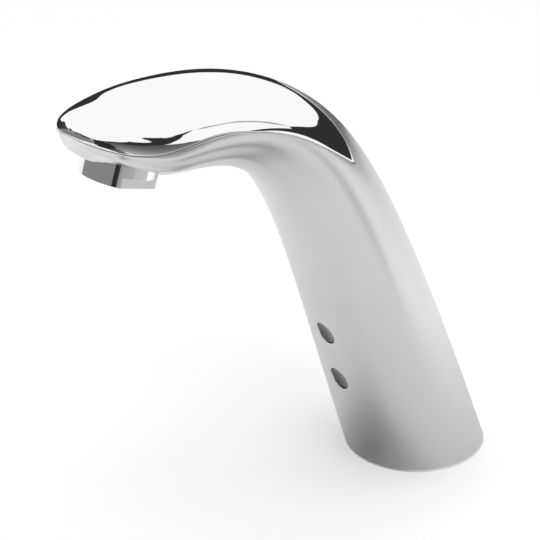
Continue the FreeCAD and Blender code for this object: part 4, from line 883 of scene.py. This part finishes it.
    def _window_patch(self, skin: Skin, distance: Array, turns: Array, centre: Array) -> None:
        """Fill a block of the column with rings that end in a round, bevelled window hole.

        Args:
            skin: Where the grids go.
            distance: The block's rows.
            turns: The block's columns, which run on past one.
            centre: The window's centre on the skin.
        """
        lean = math.radians(self.window_lean)
        up = np.array([0.0, -math.sin(lean), math.cos(lean)])
        inward = np.array([0.0, math.cos(lean), math.sin(lean)])
        n = len(distance) - 1
        loop = [(0, j) for j in range(n)] + [(i, n) for i in range(n)]
        loop += [(n, n - j) for j in range(n)] + [(n - i, 0) for i in range(n)]
        d = np.array([distance[i] for i, _ in loop] + [distance[0]])
        t = np.array([turns[j] for _, j in loop] + [turns[0]])
        edge = self.form.point(d, t)
        flat_x = edge[:, 0] - centre[0]
        flat_z = (edge - centre) @ up
        angle = np.arctan2(flat_z, flat_x)
        rim = self.window_radius + self.window_bevel
        outer = [edge]
        inner = [edge - self.form.normal(d, t) * self.body_rim.wall]
        for share in self.patch_shares:
            want_x = flat_x * (1 - share) + rim * np.cos(angle) * share
            want_z = flat_z * (1 - share) + rim * np.sin(angle) * share
            d, t = self._solve_front(d, t, want_x + centre[0], want_z, centre, up)
            outer.append(self.form.point(d, t))
            inner.append(outer[-1] - self.form.normal(d, t) * self.body_rim.wall)
        base = outer[-1]
        across = np.outer(np.cos(angle), [1.0, 0.0, 0.0]) + np.outer(np.sin(angle), up)
        for turn in ROLL_ANGLES:
            draw = self.window_bevel * math.sin(turn)
            sink = self.window_bevel * (1.0 - math.cos(turn))
            outer.append(base + inward * sink - across * draw)
        deep = inner[-1] - across * self.window_bevel
        skin.grid(np.array(outer + [deep] + inner[::-1]))

    def _solve_front(
        self, distance: Array, turns: Array, want_x: Array, want_z: Array, centre: Array, up: Array
    ) -> tuple[Array, Array]:
        """Return where on the front points stand at the wanted places of the window's plane."""
        step_d, step_t = self.solve_steps
        most_d, most_t = self.solve_limits
        d = distance.copy()
        t = turns.copy()
        for _ in range(self.solve_rounds):
            here = self.form.point(d, t)
            miss_x = want_x - here[:, 0]
            miss_z = want_z - (here - centre) @ up
            dx_dt = (self.form.point(d, t + step_t)[:, 0] - here[:, 0]) / step_t
            dz_dd = ((self.form.point(d + step_d, t) - here) @ up) / step_d
            d = d + np.clip(miss_z / dz_dd, -most_d, most_d)
            t = t + np.clip(miss_x / dx_dt, -most_t, most_t)
        return d, t


def frame_of(origin: tuple[float, float, float], lean: float) -> Matrix:
    """Return a placement that turns about +X by lean degrees and stands at origin, in millimetres."""
    turn = Matrix.Rotation(math.radians(lean), 4, "X")
    return Matrix.Translation(Vector(origin) * MM) @ turn


def even_angles(count: int) -> Array:
    """Return evenly spaced angles round a full turn."""
    return np.linspace(0.0, 2.0 * math.pi, count, endpoint=False)


def turned(name: str, profile: list[tuple[float | Array, float]], angles: Array, closed: bool = False) -> Piece:
    """Turn a profile round the Z axis into a mesh whose faces point outwards.

    Args:
        name: The piece's name.
        profile: Radius and height of each ring, in millimetres; a radius may differ from angle to angle.
        angles: The angles of each ring's points.
        closed: Whether the last ring joins the first.

    Returns:
        The new object.
    """
    skin = Skin(name)
    ends = profile + profile[:1] if closed else profile
    rings = [np.stack([r * np.cos(angles), r * np.sin(angles), np.full_like(angles, h)], -1) for r, h in ends]
    skin.grid(np.array([np.concatenate([ring, ring[:1]]) for ring in rings]))
    piece = skin.mesh(TURNED_WELD)
    face_out(piece)
    return piece


def settle(piece: Piece, placement: Matrix | None = None) -> Piece:
    """Turn a piece with modifiers into a plain mesh that stands in its place.

    Args:
        piece: The piece, with its modifiers.
        placement: Where the piece's own frame stands.

    Returns:
        The same object with a plain mesh and no modifiers.
    """
    graph = bpy.context.evaluated_depsgraph_get()
    plain = bpy.data.meshes.new_from_object(piece.evaluated_get(graph))
    piece.modifiers.clear()
    piece.data = plain
    if placement is not None:
        plain.transform(placement)
    plain.update()
    return piece


def face_out(piece: Piece) -> None:
    """Make a welded mesh's faces point the same way, outwards."""
    with opened(piece.data) as build:
        bmesh.ops.recalc_face_normals(build, faces=build.faces)


def soften(piece: Piece, width: float) -> None:
    """Add a narrow bevel to a piece's sharp edges, in millimetres."""
    bevel = piece.modifiers.new("soft_edges", "BEVEL")
    bevel.width = width * MM
    bevel.segments = 3
    bevel.limit_method = "ANGLE"
    bevel.angle_limit = math.radians(30.0)
    bevel.harden_normals = True


class Pattern(Nodes):
    """A small Geometry Nodes tree with named inputs, ended in Realize Instances and Set Material."""

    def __init__(self, name: str, material: bpy.types.Material) -> None:
        super().__init__(bpy.data.node_groups.new(name, "GeometryNodeTree"))
        for way in ("INPUT", "OUTPUT"):
            self.tree.interface.new_socket("Geometry", in_out=way, socket_type="NodeSocketGeometry")
        self.inlet = self.tree.nodes.new("NodeGroupInput")
        self.outlet = self.tree.nodes.new("NodeGroupOutput")
        self.material = material
        self.values: dict[str, object] = {}
        self.ids: dict[str, str] = {}

    def size(self, name: str, value: float | int) -> Socket:
        """Add a named input and return its socket."""
        kind = "NodeSocketInt" if isinstance(value, int) else "NodeSocketFloat"
        item = self.tree.interface.new_socket(name, in_out="INPUT", socket_type=kind)
        self.values[name] = value
        self.ids[name] = item.identifier
        return self.inlet.outputs[name]

    def scatter(self, points: Socket, shape: Socket) -> Socket:
        """Return the shape repeated on the points."""
        return self.add("GeometryNodeInstanceOnPoints", {"Points": points, "Instance": shape})

    def end(self, shape: Socket) -> None:
        """Finish the tree with the real geometry and its material."""
        real = self.add("GeometryNodeRealizeInstances", {"Geometry": shape})
        dressed = self.add("GeometryNodeSetMaterial", {"Geometry": real, "Material": self.material})
        self.feed(self.outlet, {0: dressed})

    def apply(self, piece: Piece, placement: Matrix) -> Piece:
        """Run the tree on a piece and make the result a plain mesh.

        Args:
            piece: The piece that the tree works on.
            placement: Where the piece's own frame stands.

        Returns:
            The same object with a plain mesh.
        """
        run = piece.modifiers.new(self.tree.name, "NODES")
        run.node_group = self.tree
        for name, value in self.values.items():
            run[self.ids[name]] = value
        settle(piece, placement)
        if not piece.data.materials:
            piece.data.materials.append(self.material)
        return piece


@dataclass
class Aerator:
    """The threaded ring under the spout and the jet plate inside it, in millimetres."""

    place: tuple[float, float, float] = (0.0, -126.3, 142.1)
    tilt: float = 17.8
    radius: float = 13.0
    height: float = 7.5
    lip: float = 1.0
    lip_bore: float = 9.4
    bore: float = 10.55
    flats: float = 22.0
    flat_height: float = 3.4
    thread_radius: float = 12.0
    thread_length: float = 4.2
    edge: float = 0.3
    plate_radius: float = 10.5
    plate_height: float = 7.2
    plate_wall: float = 1.0
    plate_floor: float = 1.2
    jet_rows: tuple[tuple[float, int], ...] = ((2.5, 6), (5.0, 12), (7.5, 18))
    jet_radius: float = 0.75
    jet_reach: float = 0.7
    jet_wall: float = 0.22
    jet_root: float = 0.1
    jet_sides: int = 16
    jet_weld: float = 0.001
    floor_lift: float = 0.3
    floor_draft: tuple[float, float] = (0.4, 0.1)
    plate_edge: float = 0.12
    ring_points: int = 144
    plate_points: int = 72
    corner_gap: float = 0.02

    def placement(self) -> Matrix:
        """Return where the outlet's own frame stands."""
        return frame_of(self.place, -self.tilt)

    def angles(self) -> Array:
        """Return even angles that also hold the flats' corners."""
        corner = math.acos(self.flats / 2.0 / self.radius)
        even = even_angles(self.ring_points)
        corners = np.array([corner, math.pi - corner, math.pi + corner, 2.0 * math.pi - corner])
        keep = [a for a in even if np.min(np.abs(corners - a)) > self.corner_gap]
        return np.sort(np.concatenate([keep, corners]))

    def ring(self) -> Piece:
        """Make the ring and return its object."""
        angles = self.angles()
        top = self.height + self.thread_length
        flat = np.minimum(self.radius, self.flats / 2.0 / np.maximum(np.abs(np.cos(angles)), 1e-6))
        profile = [
            (self.bore, self.lip),
            (self.lip_bore, self.lip),
            (self.lip_bore, 0.0),
            (flat, 0.0),
            (flat, self.flat_height),
            (self.radius, self.flat_height),
            (self.radius, self.height),
            (self.thread_radius, self.height),
            (self.thread_radius, top),
            (self.bore, top),
        ]
        piece = turned("aerator_housing", profile, angles, closed=True)
        soften(piece, self.edge)
        return settle(piece, self.placement())

    def plate(self, workshop: Workshop) -> Piece:
        """Make the jet plate with its rows of small nozzles and return its object."""
        inner = self.plate_radius - self.plate_wall
        top = self.lip + self.plate_height
        low = self.lip + self.floor_lift
        high = self.lip + self.plate_floor
        inset, play = self.floor_draft
        profile = [
            (POLE, low),
            (self.lip_bore - inset, low),
            (self.lip_bore - play, self.lip),
            (self.plate_radius, self.lip),
            (self.plate_radius, top),
            (inner, top),
            (inner, high),
            (POLE, high),
        ]
        piece = turned("jet_plate", profile, even_angles(self.plate_points))
        soften(piece, self.plate_edge)
        pattern = Pattern("jet_rows", workshop.material(Finish.WHITE_PLASTIC))
        radius = pattern.size("Jet radius", self.jet_radius * MM)
        reach = pattern.size("Jet reach", self.jet_reach * MM)
        section = {"Resolution": self.jet_sides, "Radius": radius}
        outline = pattern.add("GeometryNodeCurvePrimitiveCircle", section)
        start = pattern.add("ShaderNodeCombineXYZ", {"Z": pattern.maths("SUBTRACT", low * MM, reach)})
        end = (0.0, 0.0, (low + self.jet_root) * MM)
        spine = pattern.add("GeometryNodeCurvePrimitiveLine", {"Start": start, "End": end})
        wall = pattern.add("GeometryNodeCurveToMesh", {"Curve": spine, "Profile Curve": outline})
        growth = {"Mesh": wall, "Offset Scale": self.jet_wall * MM, "Individual": False}
        thick = pattern.add("GeometryNodeExtrudeMesh", growth, mode="FACES")
        inside = pattern.add("GeometryNodeFlipFaces", {"Mesh": wall})
        both = pattern.add("GeometryNodeJoinGeometry", {0: [thick, inside]})
        closed = {"Geometry": both, "Distance": self.jet_weld * MM}
        jet = pattern.add("GeometryNodeMergeByDistance", closed)
        rows = []
        for row, (distance, count) in enumerate(self.jet_rows):
            where = pattern.size(f"Row {row + 1} radius", distance * MM)
            jets = pattern.size(f"Row {row + 1} jets", count)
            points = pattern.add("GeometryNodeMeshCircle", {"Radius": where, "Vertices": jets})
            rows.append(pattern.scatter(points, jet))
        pattern.end(pattern.add("GeometryNodeJoinGeometry", {0: [pattern.inlet.outputs[0], *rows]}))
        return pattern.apply(piece, self.placement())


@dataclass
class Windows:
    """The two dark windows on the column's front, in millimetres."""

    place: tuple[float, float, float] = (0.0, -37.85, 45.9)
    lean: float = 17.5
    spacing: float = 21.0
    radius: float = 4.17
    recess: float = 0.45
    dish: float = 0.45
    edge: float = 0.3
    depth: float = 4.6
    pole: float = 0.02
    points: int = 64
    dish_shares: tuple[float, float, int] = (0.15, 1.0, 8)
    edge_angles: tuple[float, ...] = (30.0, 60.0, 90.0)

    def profile(self) -> list[tuple[float, float]]:
        """Return the lens's profile as radius and height."""
        reach = self.radius - self.edge
        points = [(self.pole, -(self.recess + self.dish))]
        for share in np.linspace(*self.dish_shares):
            points.append((reach * share, -(self.recess + self.dish * (1.0 - share**2))))
        for angle in np.radians(self.edge_angles):
            sink = self.edge * (1.0 - math.cos(angle))
            points.append((reach + self.edge * math.sin(angle), -(self.recess + sink)))
        return points + [(self.radius, -self.depth), (self.pole, -self.depth)]

    def lenses(self, workshop: Workshop) -> Piece:
        """Make both lenses from one turned profile and return their object."""
        seed = turned("window_lens_seed", self.profile(), even_angles(self.points))
        piece = stand("window_lenses", bpy.data.meshes.new("window_lenses"))
        pattern = Pattern("window_pair", workshop.material(Finish.SMOKED_LENS))
        spacing = pattern.size("Spacing", self.spacing * MM)
        count = pattern.size("Windows", 2)
        low = pattern.add("ShaderNodeCombineXYZ", {"Z": pattern.maths("MULTIPLY", spacing, -0.5)})
        step = pattern.add("ShaderNodeCombineXYZ", {"Z": spacing})
        line = pattern.add("GeometryNodeMeshLine", {"Count": count, "Start Location": low, "Offset": step})
        lens = pattern.add("GeometryNodeObjectInfo", {"Object": seed}, "Geometry")
        turn = {"Geometry": lens, "Rotation": (math.radians(90.0), 0.0, 0.0)}
        pattern.end(pattern.scatter(line, pattern.add("GeometryNodeTransform", turn)))
        pattern.apply(piece, frame_of(self.place, self.lean))
        bpy.data.objects.remove(seed)
        return piece


@dataclass
class FootScrews:
    """The four socket-head screws under the foot, in millimetres."""

    across_x: float = 14.4
    across_y: float = 8.4
    head_radius: float = 3.2
    head_height: float = 1.8
    head_low: float = 0.6
    shank_radius: float = 1.75
    shank_top: float = 10.5
    socket_radius: float = 1.55
    socket_depth: float = 1.1
    head_edge: float = 0.15
    points: int = 48

    def screws(self, workshop: Workshop) -> Piece:
        """Make the screws on the foot's four posts and return their object."""
        angles = even_angles(self.points)
        sector = math.pi / 3.0
        bend = np.mod(angles, sector) - sector / 2.0
        hexagon = self.socket_radius * math.cos(sector / 2.0) / np.cos(bend)
        deep = self.head_low + self.socket_depth
        top = self.head_low + self.head_height
        profile = [
            (POLE, deep),
            (hexagon, deep),
            (hexagon, self.head_low),
            (self.head_radius, self.head_low),
            (self.head_radius, top),
            (self.shank_radius, top),
            (self.shank_radius, self.shank_top),
            (POLE, self.shank_top),
        ]
        seed = turned("foot_screw_seed", profile, angles)
        soften(seed, self.head_edge)
        settle(seed)
        piece = stand("foot_screws", bpy.data.meshes.new("foot_screws"))
        pattern = Pattern("foot_screw_grid", workshop.material(Finish.STAINLESS))
        sizes = {
            "Vertices X": 2,
            "Vertices Y": 2,
            "Size X": pattern.size("Across X", 2.0 * self.across_x * MM),
            "Size Y": pattern.size("Across Y", 2.0 * self.across_y * MM),
        }
        grid = pattern.add("GeometryNodeMeshGrid", sizes)
        screw = pattern.add("GeometryNodeObjectInfo", {"Object": seed}, "Geometry")
        pattern.end(pattern.scatter(grid, screw))
        pattern.apply(piece, Matrix.Identity(4))
        bpy.data.objects.remove(seed)
        return piece


@dataclass(frozen=True)
class CoilSpring:
    """A coil spring, copied from its solid.

    Args:
        name: The piece's name.
        node: The solid it stands for.
        joint: The joint named for it; not used.
    """

    name: str
    node: str
    joint: str

    def make(self) -> Piece:
        """Copy the spring's solid, weld the copy and return its object."""
        data = frame["nodes"][self.node].data.copy()
        data.name = self.name
        data.materials.clear()
        with opened(data) as build:
            bmesh.ops.remove_doubles(build, verts=build.verts, dist=1e-7)
        return stand(self.name, data)

    def shorten(self, piece: Piece) -> None:
        """Give the spring its own copy of its mesh; it does not shorten."""
        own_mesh(piece)


COIL_SPRINGS = (
    CoilSpring("plunger_coil", "plunger_spring", "plunger_slide"),
    CoilSpring("check_coil", "check_spring", "check_slide"),
)


def direction(azimuth: float, elevation: float) -> Vector:
    """Return the unit vector at an azimuth, from -Y towards +X, and an elevation, in degrees."""
    a = math.radians(azimuth)
    e = math.radians(elevation)
    return Vector((math.sin(a) * math.cos(e), -math.cos(a) * math.cos(e), math.sin(e)))


@dataclass(frozen=True)
class PaintedReflectionCard:
    """A glowing card round the tap that only metal and glass see: a painted reflection.

    Args:
        name: The card's name.
        shade: How bright its lower edge shows, 0 to 1.
        top_shade: How bright its upper edge shows.
        stations: Azimuth, lowest and highest elevation in degrees, seen from the spout's middle.
            Azimuth 0 looks along -Y and 90 along +X.
        distance: How far away it stands, in metres.
        step: Degrees from one column of its mesh to the next.
        rows: How many rows of faces it has.
        middle: Where the directions start, in metres.
        above_floor: How high over the floor a low card lies.
    """

    name: str
    shade: float
    top_shade: float
    stations: tuple[tuple[float, float, float], ...]
    distance: float = 2.2
    step: float = 3.0
    rows: int = 16
    middle: tuple[float, float, float] = (0.0, -0.09, 0.16)
    above_floor: float = 0.002

    def _place(self, azimuth: float, elevation: float) -> Vector:
        """Return the card's point in one direction; low ones lie on the floor."""
        reach = self.distance
        if elevation < 0.0:
            reach = min(reach, (self.middle[2] - self.above_floor) / math.sin(math.radians(-elevation)))
        return Vector(self.middle) + direction(azimuth, elevation) * reach

    def mesh(self) -> bpy.types.Mesh:
        """Return the card's mesh with its brightness as a point attribute."""
        azimuths, lows, highs = (np.array(column) for column in zip(*self.stations))
        even = np.arange(azimuths[0], azimuths[-1], self.step)
        columns = np.unique(np.concatenate([even, azimuths]))
        points = []
        for azimuth in columns:
            low = float(np.interp(azimuth, azimuths, lows))
            high = float(np.interp(azimuth, azimuths, highs))
            points += [self._place(azimuth, low + (high - low) * k / self.rows) for k in range(self.rows + 1)]
        tall = self.rows + 1
        faces = [
            (i * tall + k, (i + 1) * tall + k, (i + 1) * tall + k + 1, i * tall + k + 1)
            for i in range(len(columns) - 1)
            for k in range(self.rows)
        ]
        data = bpy.data.meshes.new(self.name)
        data.from_pydata(points, [], faces)
        glow = data.attributes.new("glow", "FLOAT", "POINT")
        glow.data.foreach_set("value", np.tile(np.linspace(self.shade, self.top_shade, tall), len(columns)))
        return data


# Painted reflections: glowing grey and dark cards that only metal and glass see. They are named after the room,
# walls, softboxes and post whose reflections they stand in for, and none of these is in the scene.
PAINTED_REFLECTION_CARDS = (
    PaintedReflectionCard("camera_side_room", 0.42, 0.07, (
        (44, -18, -14), (48, -18, 0), (52, -18, 14), (55, -18, 30), (58, -18, 50), (66, -18, 56),
        (79, -18, 61), (95, -18, 66), (115, -18, 70), (131, -18, 69))),
    PaintedReflectionCard("front_room", 0.24, 0.2, (
        (296, -8, 58), (320, -8, 62), (338, -8, 66), (360, -8, 72), (376, -8, 70), (384, -8, 64),
        (396, -8, 52), (402, -8, 46))),
    PaintedReflectionCard("front_left_wall", 0.03, 0.06, (
        (253, 17, 24), (260, 12, 38), (275, 8, 52), (290, 5, 62), (297, 5, 66))),
    PaintedReflectionCard("camera_side_post", 0.02, 0.03, (
        (30, -50, -33), (34, -49, -15), (38, -47, 1), (42, -36, 19), (43, -33, 40), (47, -22, 47), (51, 4, 49),
        (54, 16, 51), (57, 32, 53)), 2.1),
    PaintedReflectionCard("right_hand_edge", 0.04, 0.06, ((128, -6, 50), (132, -6, 58)), 2.1),
    PaintedReflectionCard("softbox_frame", 0.03, 0.03, (
        (-80, 60, 66), (-50, 62, 70), (-20, 69, 76), (10, 70, 76), (20, 66, 73), (28, 58, 69), (36, 50, 65),
        (45, 46, 55), (50, 45, 51), (62, 52, 57), (68, 56, 61), (79, 59.5, 65), (95, 62.5, 69.5),
        (115, 66, 73), (135, 66.5, 71.5), (150, 67.5, 70.5), (165, 66.8, 70), (180, 65.5, 69),
        (190, 60, 66)), 2.05),
    PaintedReflectionCard("softbox_edge", 0.35, 0.35, (
        (146, 6, 15), (149, 16, 23), (155, 30, 33.5), (162, 39, 41.5), (176, 50.5, 52.5), (186, 56, 60))),
    PaintedReflectionCard("wall_behind", 0.03, 0.03, (
        (130, -10, 0.5), (143, -10, 1.5), (147, -10, 7.5), (154, -9, 8.5), (186, -8, 8), (193, -9, 6),
        (204, -12, 3), (212, -16, 1), (218, -22, -2), (222, -24, -4), (227, -24, -2), (231, -24, 0.5),
        (236, -24, 1.5), (241, -24, 0), (244, -24, -3), (248, -22, -3), (251, -16, 0), (256, -12, 16),
        (262, -8, 20), (275, -4, 22), (300, -4, 12))),
    PaintedReflectionCard("camera_side_ground", 0.6, 0.5, (
        (46, -45, -24), (52, -45, -18), (90, -45, -18), (128, -40, -18))),
    PaintedReflectionCard("front_ground", 0.32, 0.42, ((20, -33, -24), (45, -33, -24)), 2.15),
)


@dataclass
class Studio:
    """The pale floor, the white surround, the soft lights, the glowing cards of painted reflection, the painted
    shade on the floor and the camera.
    """

    floor_size: float = 8.0
    floor_colour: float = 0.8
    floor_glow: float = 0.3
    sky_strength: float = 0.55
    shade_centre: tuple[float, float] = (0.004, -0.03)
    shade_radius: float = 0.16
    shade_height: float = 0.001
    shade_points: int = 64
    shade_steps: tuple[tuple[float, float], ...] = (
        (0.2, 0.88), (0.45, 0.79), (0.65, 0.74), (0.8, 0.64), (0.9, 0.36))
    shade_middle: float = 0.2
    lamp_target: tuple[float, float, float] = (0.0, -0.06, 0.08)
    camera_angles: tuple[float, float] = (51.87, 28.27)
    camera_target: tuple[float, float, float] = (-0.0146, -0.0534, 0.0783)
    camera_distance: float = 1.2
    camera_lens: float = 236.8
    camera_clip: tuple[float, float] = (0.01, 50.0)
    lamps: tuple[tuple[str, tuple[float, float, float], float, float], ...] = (
        ("overhead_softbox", (0.1, -0.3, 1.5), 1.2, 9.0),
        ("side_softbox", (1.3, -0.1, 0.9), 0.9, 4.0),
    )

    @staticmethod
    def _seen(nodes: Nodes) -> Socket:
        """Return a value of one for rays from the camera, metal and glass, and zero for the rest."""
        path = nodes.add("ShaderNodeLightPath").node.outputs
        first = nodes.maths("MAXIMUM", path["Is Camera Ray"], path["Is Glossy Ray"])
        return nodes.maths("MAXIMUM", first, path["Is Transmission Ray"])

    def world(self) -> None:
        """Make the white surround."""
        world = bpy.data.worlds.new("white_surround")
        world.use_nodes = True
        nodes = Nodes(world.node_tree)
        limits = {"To Min": self.sky_strength, "To Max": 1.0}
        level = nodes.add("ShaderNodeMapRange", {"Value": self._seen(nodes)} | limits)
        nodes.feed(nodes.tree.nodes["Background"], {"Color": (1.0, 1.0, 1.0, 1.0), "Strength": level})
        bpy.context.scene.world = world

    def floor(self) -> None:
        """Make the pale floor that keeps the tap's shadow."""
        half = self.floor_size / 2.0
        corners = [(-half, -half, 0.0), (half, -half, 0.0), (half, half, 0.0), (-half, half, 0.0)]
        data = bpy.data.meshes.new("floor")
        data.from_pydata(corners, [], [(0, 1, 2, 3)])
        floor = stand("floor", data)
        material, nodes = new_material("pale_floor")
        shader = nodes.tree.nodes["Principled BSDF"]
        colour = (*[self.floor_colour] * 3, 1.0)
        nodes.feed(shader, {"Base Color": colour, "Roughness": 0.9, "Specular IOR Level": 0.0})
        level = nodes.maths("MULTIPLY", self._seen(nodes), self.floor_glow)
        glow = nodes.add("ShaderNodeEmission", {"Strength": level})
        both = nodes.add("ShaderNodeAddShader", {0: shader.outputs[0], 1: glow})
        nodes.feed(nodes.tree.nodes["Material Output"], {"Surface": both})
        data.materials.append(material)

    def card(self, name: str, data: bpy.types.Mesh, shade: Socket, nodes: Nodes) -> None:
        """Stage a mesh as a glowing card that only metal and glass see; it paints reflections and shade into
        them.

        Args:
            name: The card's name.
            data: Its mesh, with its material.
            shade: How bright it shows.
            nodes: Its material's nodes.
        """
        nodes.tree.nodes.remove(nodes.tree.nodes["Principled BSDF"])
        glow = nodes.add("ShaderNodeEmission", {"Color": shade})
        nodes.feed(nodes.tree.nodes["Material Output"], {"Surface": glow})
        card = stand(name, data)
        card.visible_camera = False
        card.visible_diffuse = False
        card.visible_shadow = False
        card.visible_transmission = False

    def cards(self) -> None:
        """Stage the painted-reflection cards round the tap."""
        for card in PAINTED_REFLECTION_CARDS:
            data = card.mesh()
            material, nodes = new_material(card.name)
            data.materials.append(material)
            shade = nodes.add("ShaderNodeAttribute", out="Fac", attribute_name="glow")
            self.card(card.name, data, shade, nodes)

    def front_shade(self) -> None:
        """Lay a painted shade on the floor in front of the foot, a glowing disc that only metal and glass see,
        darkest at its middle.
        """
        x, y = self.shade_centre
        radius = self.shade_radius
        count = self.shade_points
        points = [(x, y, self.shade_height)]
        for angle in even_angles(count):
            points.append((x + radius * math.cos(angle), y + radius * math.sin(angle), self.shade_height))
        data = bpy.data.meshes.new("front_shade")
        data.from_pydata(points, [], [(0, 1 + k, 1 + (k + 1) % count) for k in range(count)])
        material, nodes = new_material("front_shade")
        data.materials.append(material)
        place = nodes.add("ShaderNodeTexCoord", out="Object")
        move = {"Vector": place, "Location": (-x / radius, -y / radius, 0.0), "Scale": (1.0 / radius,) * 3}
        centre = nodes.add("ShaderNodeMapping", move)
        fall = nodes.add("ShaderNodeTexGradient", {"Vector": centre}, "Fac", gradient_type="SPHERICAL")
        shade = nodes.add("ShaderNodeValToRGB", {"Fac": fall})
        ramp = shade.node.color_ramp.elements
        ramp[0].color = (1.0, 1.0, 1.0, 1.0)
        ramp[1].color = (*[self.shade_middle] * 3, 1.0)
        for position, level in self.shade_steps:
            ramp.new(position).color = (level, level, level, 1.0)
        self.card("front_shade", data, shade, nodes)

    @staticmethod
    def look(item: Piece, place: Vector, way: Vector) -> None:
        """Stand a lamp or a camera at a place and point it one way."""
        item.location = place
        item.rotation_mode = "QUATERNION"
        item.rotation_quaternion = way.to_track_quat("-Z", "Y")

    def lamp(self, name: str, place: tuple[float, float, float], size: float, power: float) -> None:
        """Add a soft square lamp that looks at the tap and doesn't show in metal.

        Args:
            name: The lamp's name.
            place: Where it stands, in metres.
            size: Its side in metres.
            power: Its power in watts.
        """
        data = bpy.data.lights.new(name, "AREA")
        data.shape = "SQUARE"
        data.size = size
        data.energy = power
        lamp = stand(name, data)
        lamp.visible_glossy = False
        self.look(lamp, Vector(place), Vector(self.lamp_target) - Vector(place))

    def camera(self) -> None:
        """Make the camera at the viewing angle of the picture."""
        back = direction(*self.camera_angles)
        data = bpy.data.cameras.new("camera")
        data.lens = self.camera_lens
        data.sensor_width = 36.0
        data.clip_start, data.clip_end = self.camera_clip
        camera = stand("camera", data)
        self.look(camera, Vector(self.camera_target) + back * self.camera_distance, -back)
        bpy.context.scene.camera = camera

    def build(self) -> None:
        """Set up the stage, the light and the camera."""
        bpy.context.scene.view_settings.view_transform = "Standard"
        self.world()
        self.floor()
        self.cards()
        self.front_shade()
        for lamp in self.lamps:
            self.lamp(*lamp)
        self.camera()


def main() -> None:
    """Build the tap, its stage and its light."""
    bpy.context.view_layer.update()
    Studio().build()
    workshop = Workshop()
    workshop.dress_nodes()
    shells = Shells(TapForm())
    aerator = Aerator()
    body = shells.body()
    face_out(body)
    shells.cut_pocket(body, aerator)
    workshop.finish_piece(body, Finish.SATIN_CHROME, "body_shell")
    cover = shells.cover()
    face_out(cover)
    workshop.finish_piece(cover, Finish.POLISHED_CHROME, "top_cover")
    workshop.finish_piece(aerator.ring(), Finish.POLISHED_CHROME, "aerator_ring")
    workshop.finish_piece(aerator.plate(workshop), Finish.WHITE_PLASTIC, "aerator_cartridge")
    workshop.finish_piece(Windows().lenses(workshop), Finish.SMOKED_LENS, "emitter_lens", "receiver_lens")
    workshop.finish_piece(FootScrews().screws(workshop), Finish.STAINLESS, "base_screws")
    for spring in COIL_SPRINGS:
        coil = spring.make()
        workshop.finish_piece(coil, Finish.SPRING_STEEL, spring.node)
        spring.shorten(coil)


if __name__ == "__main__":
    main()
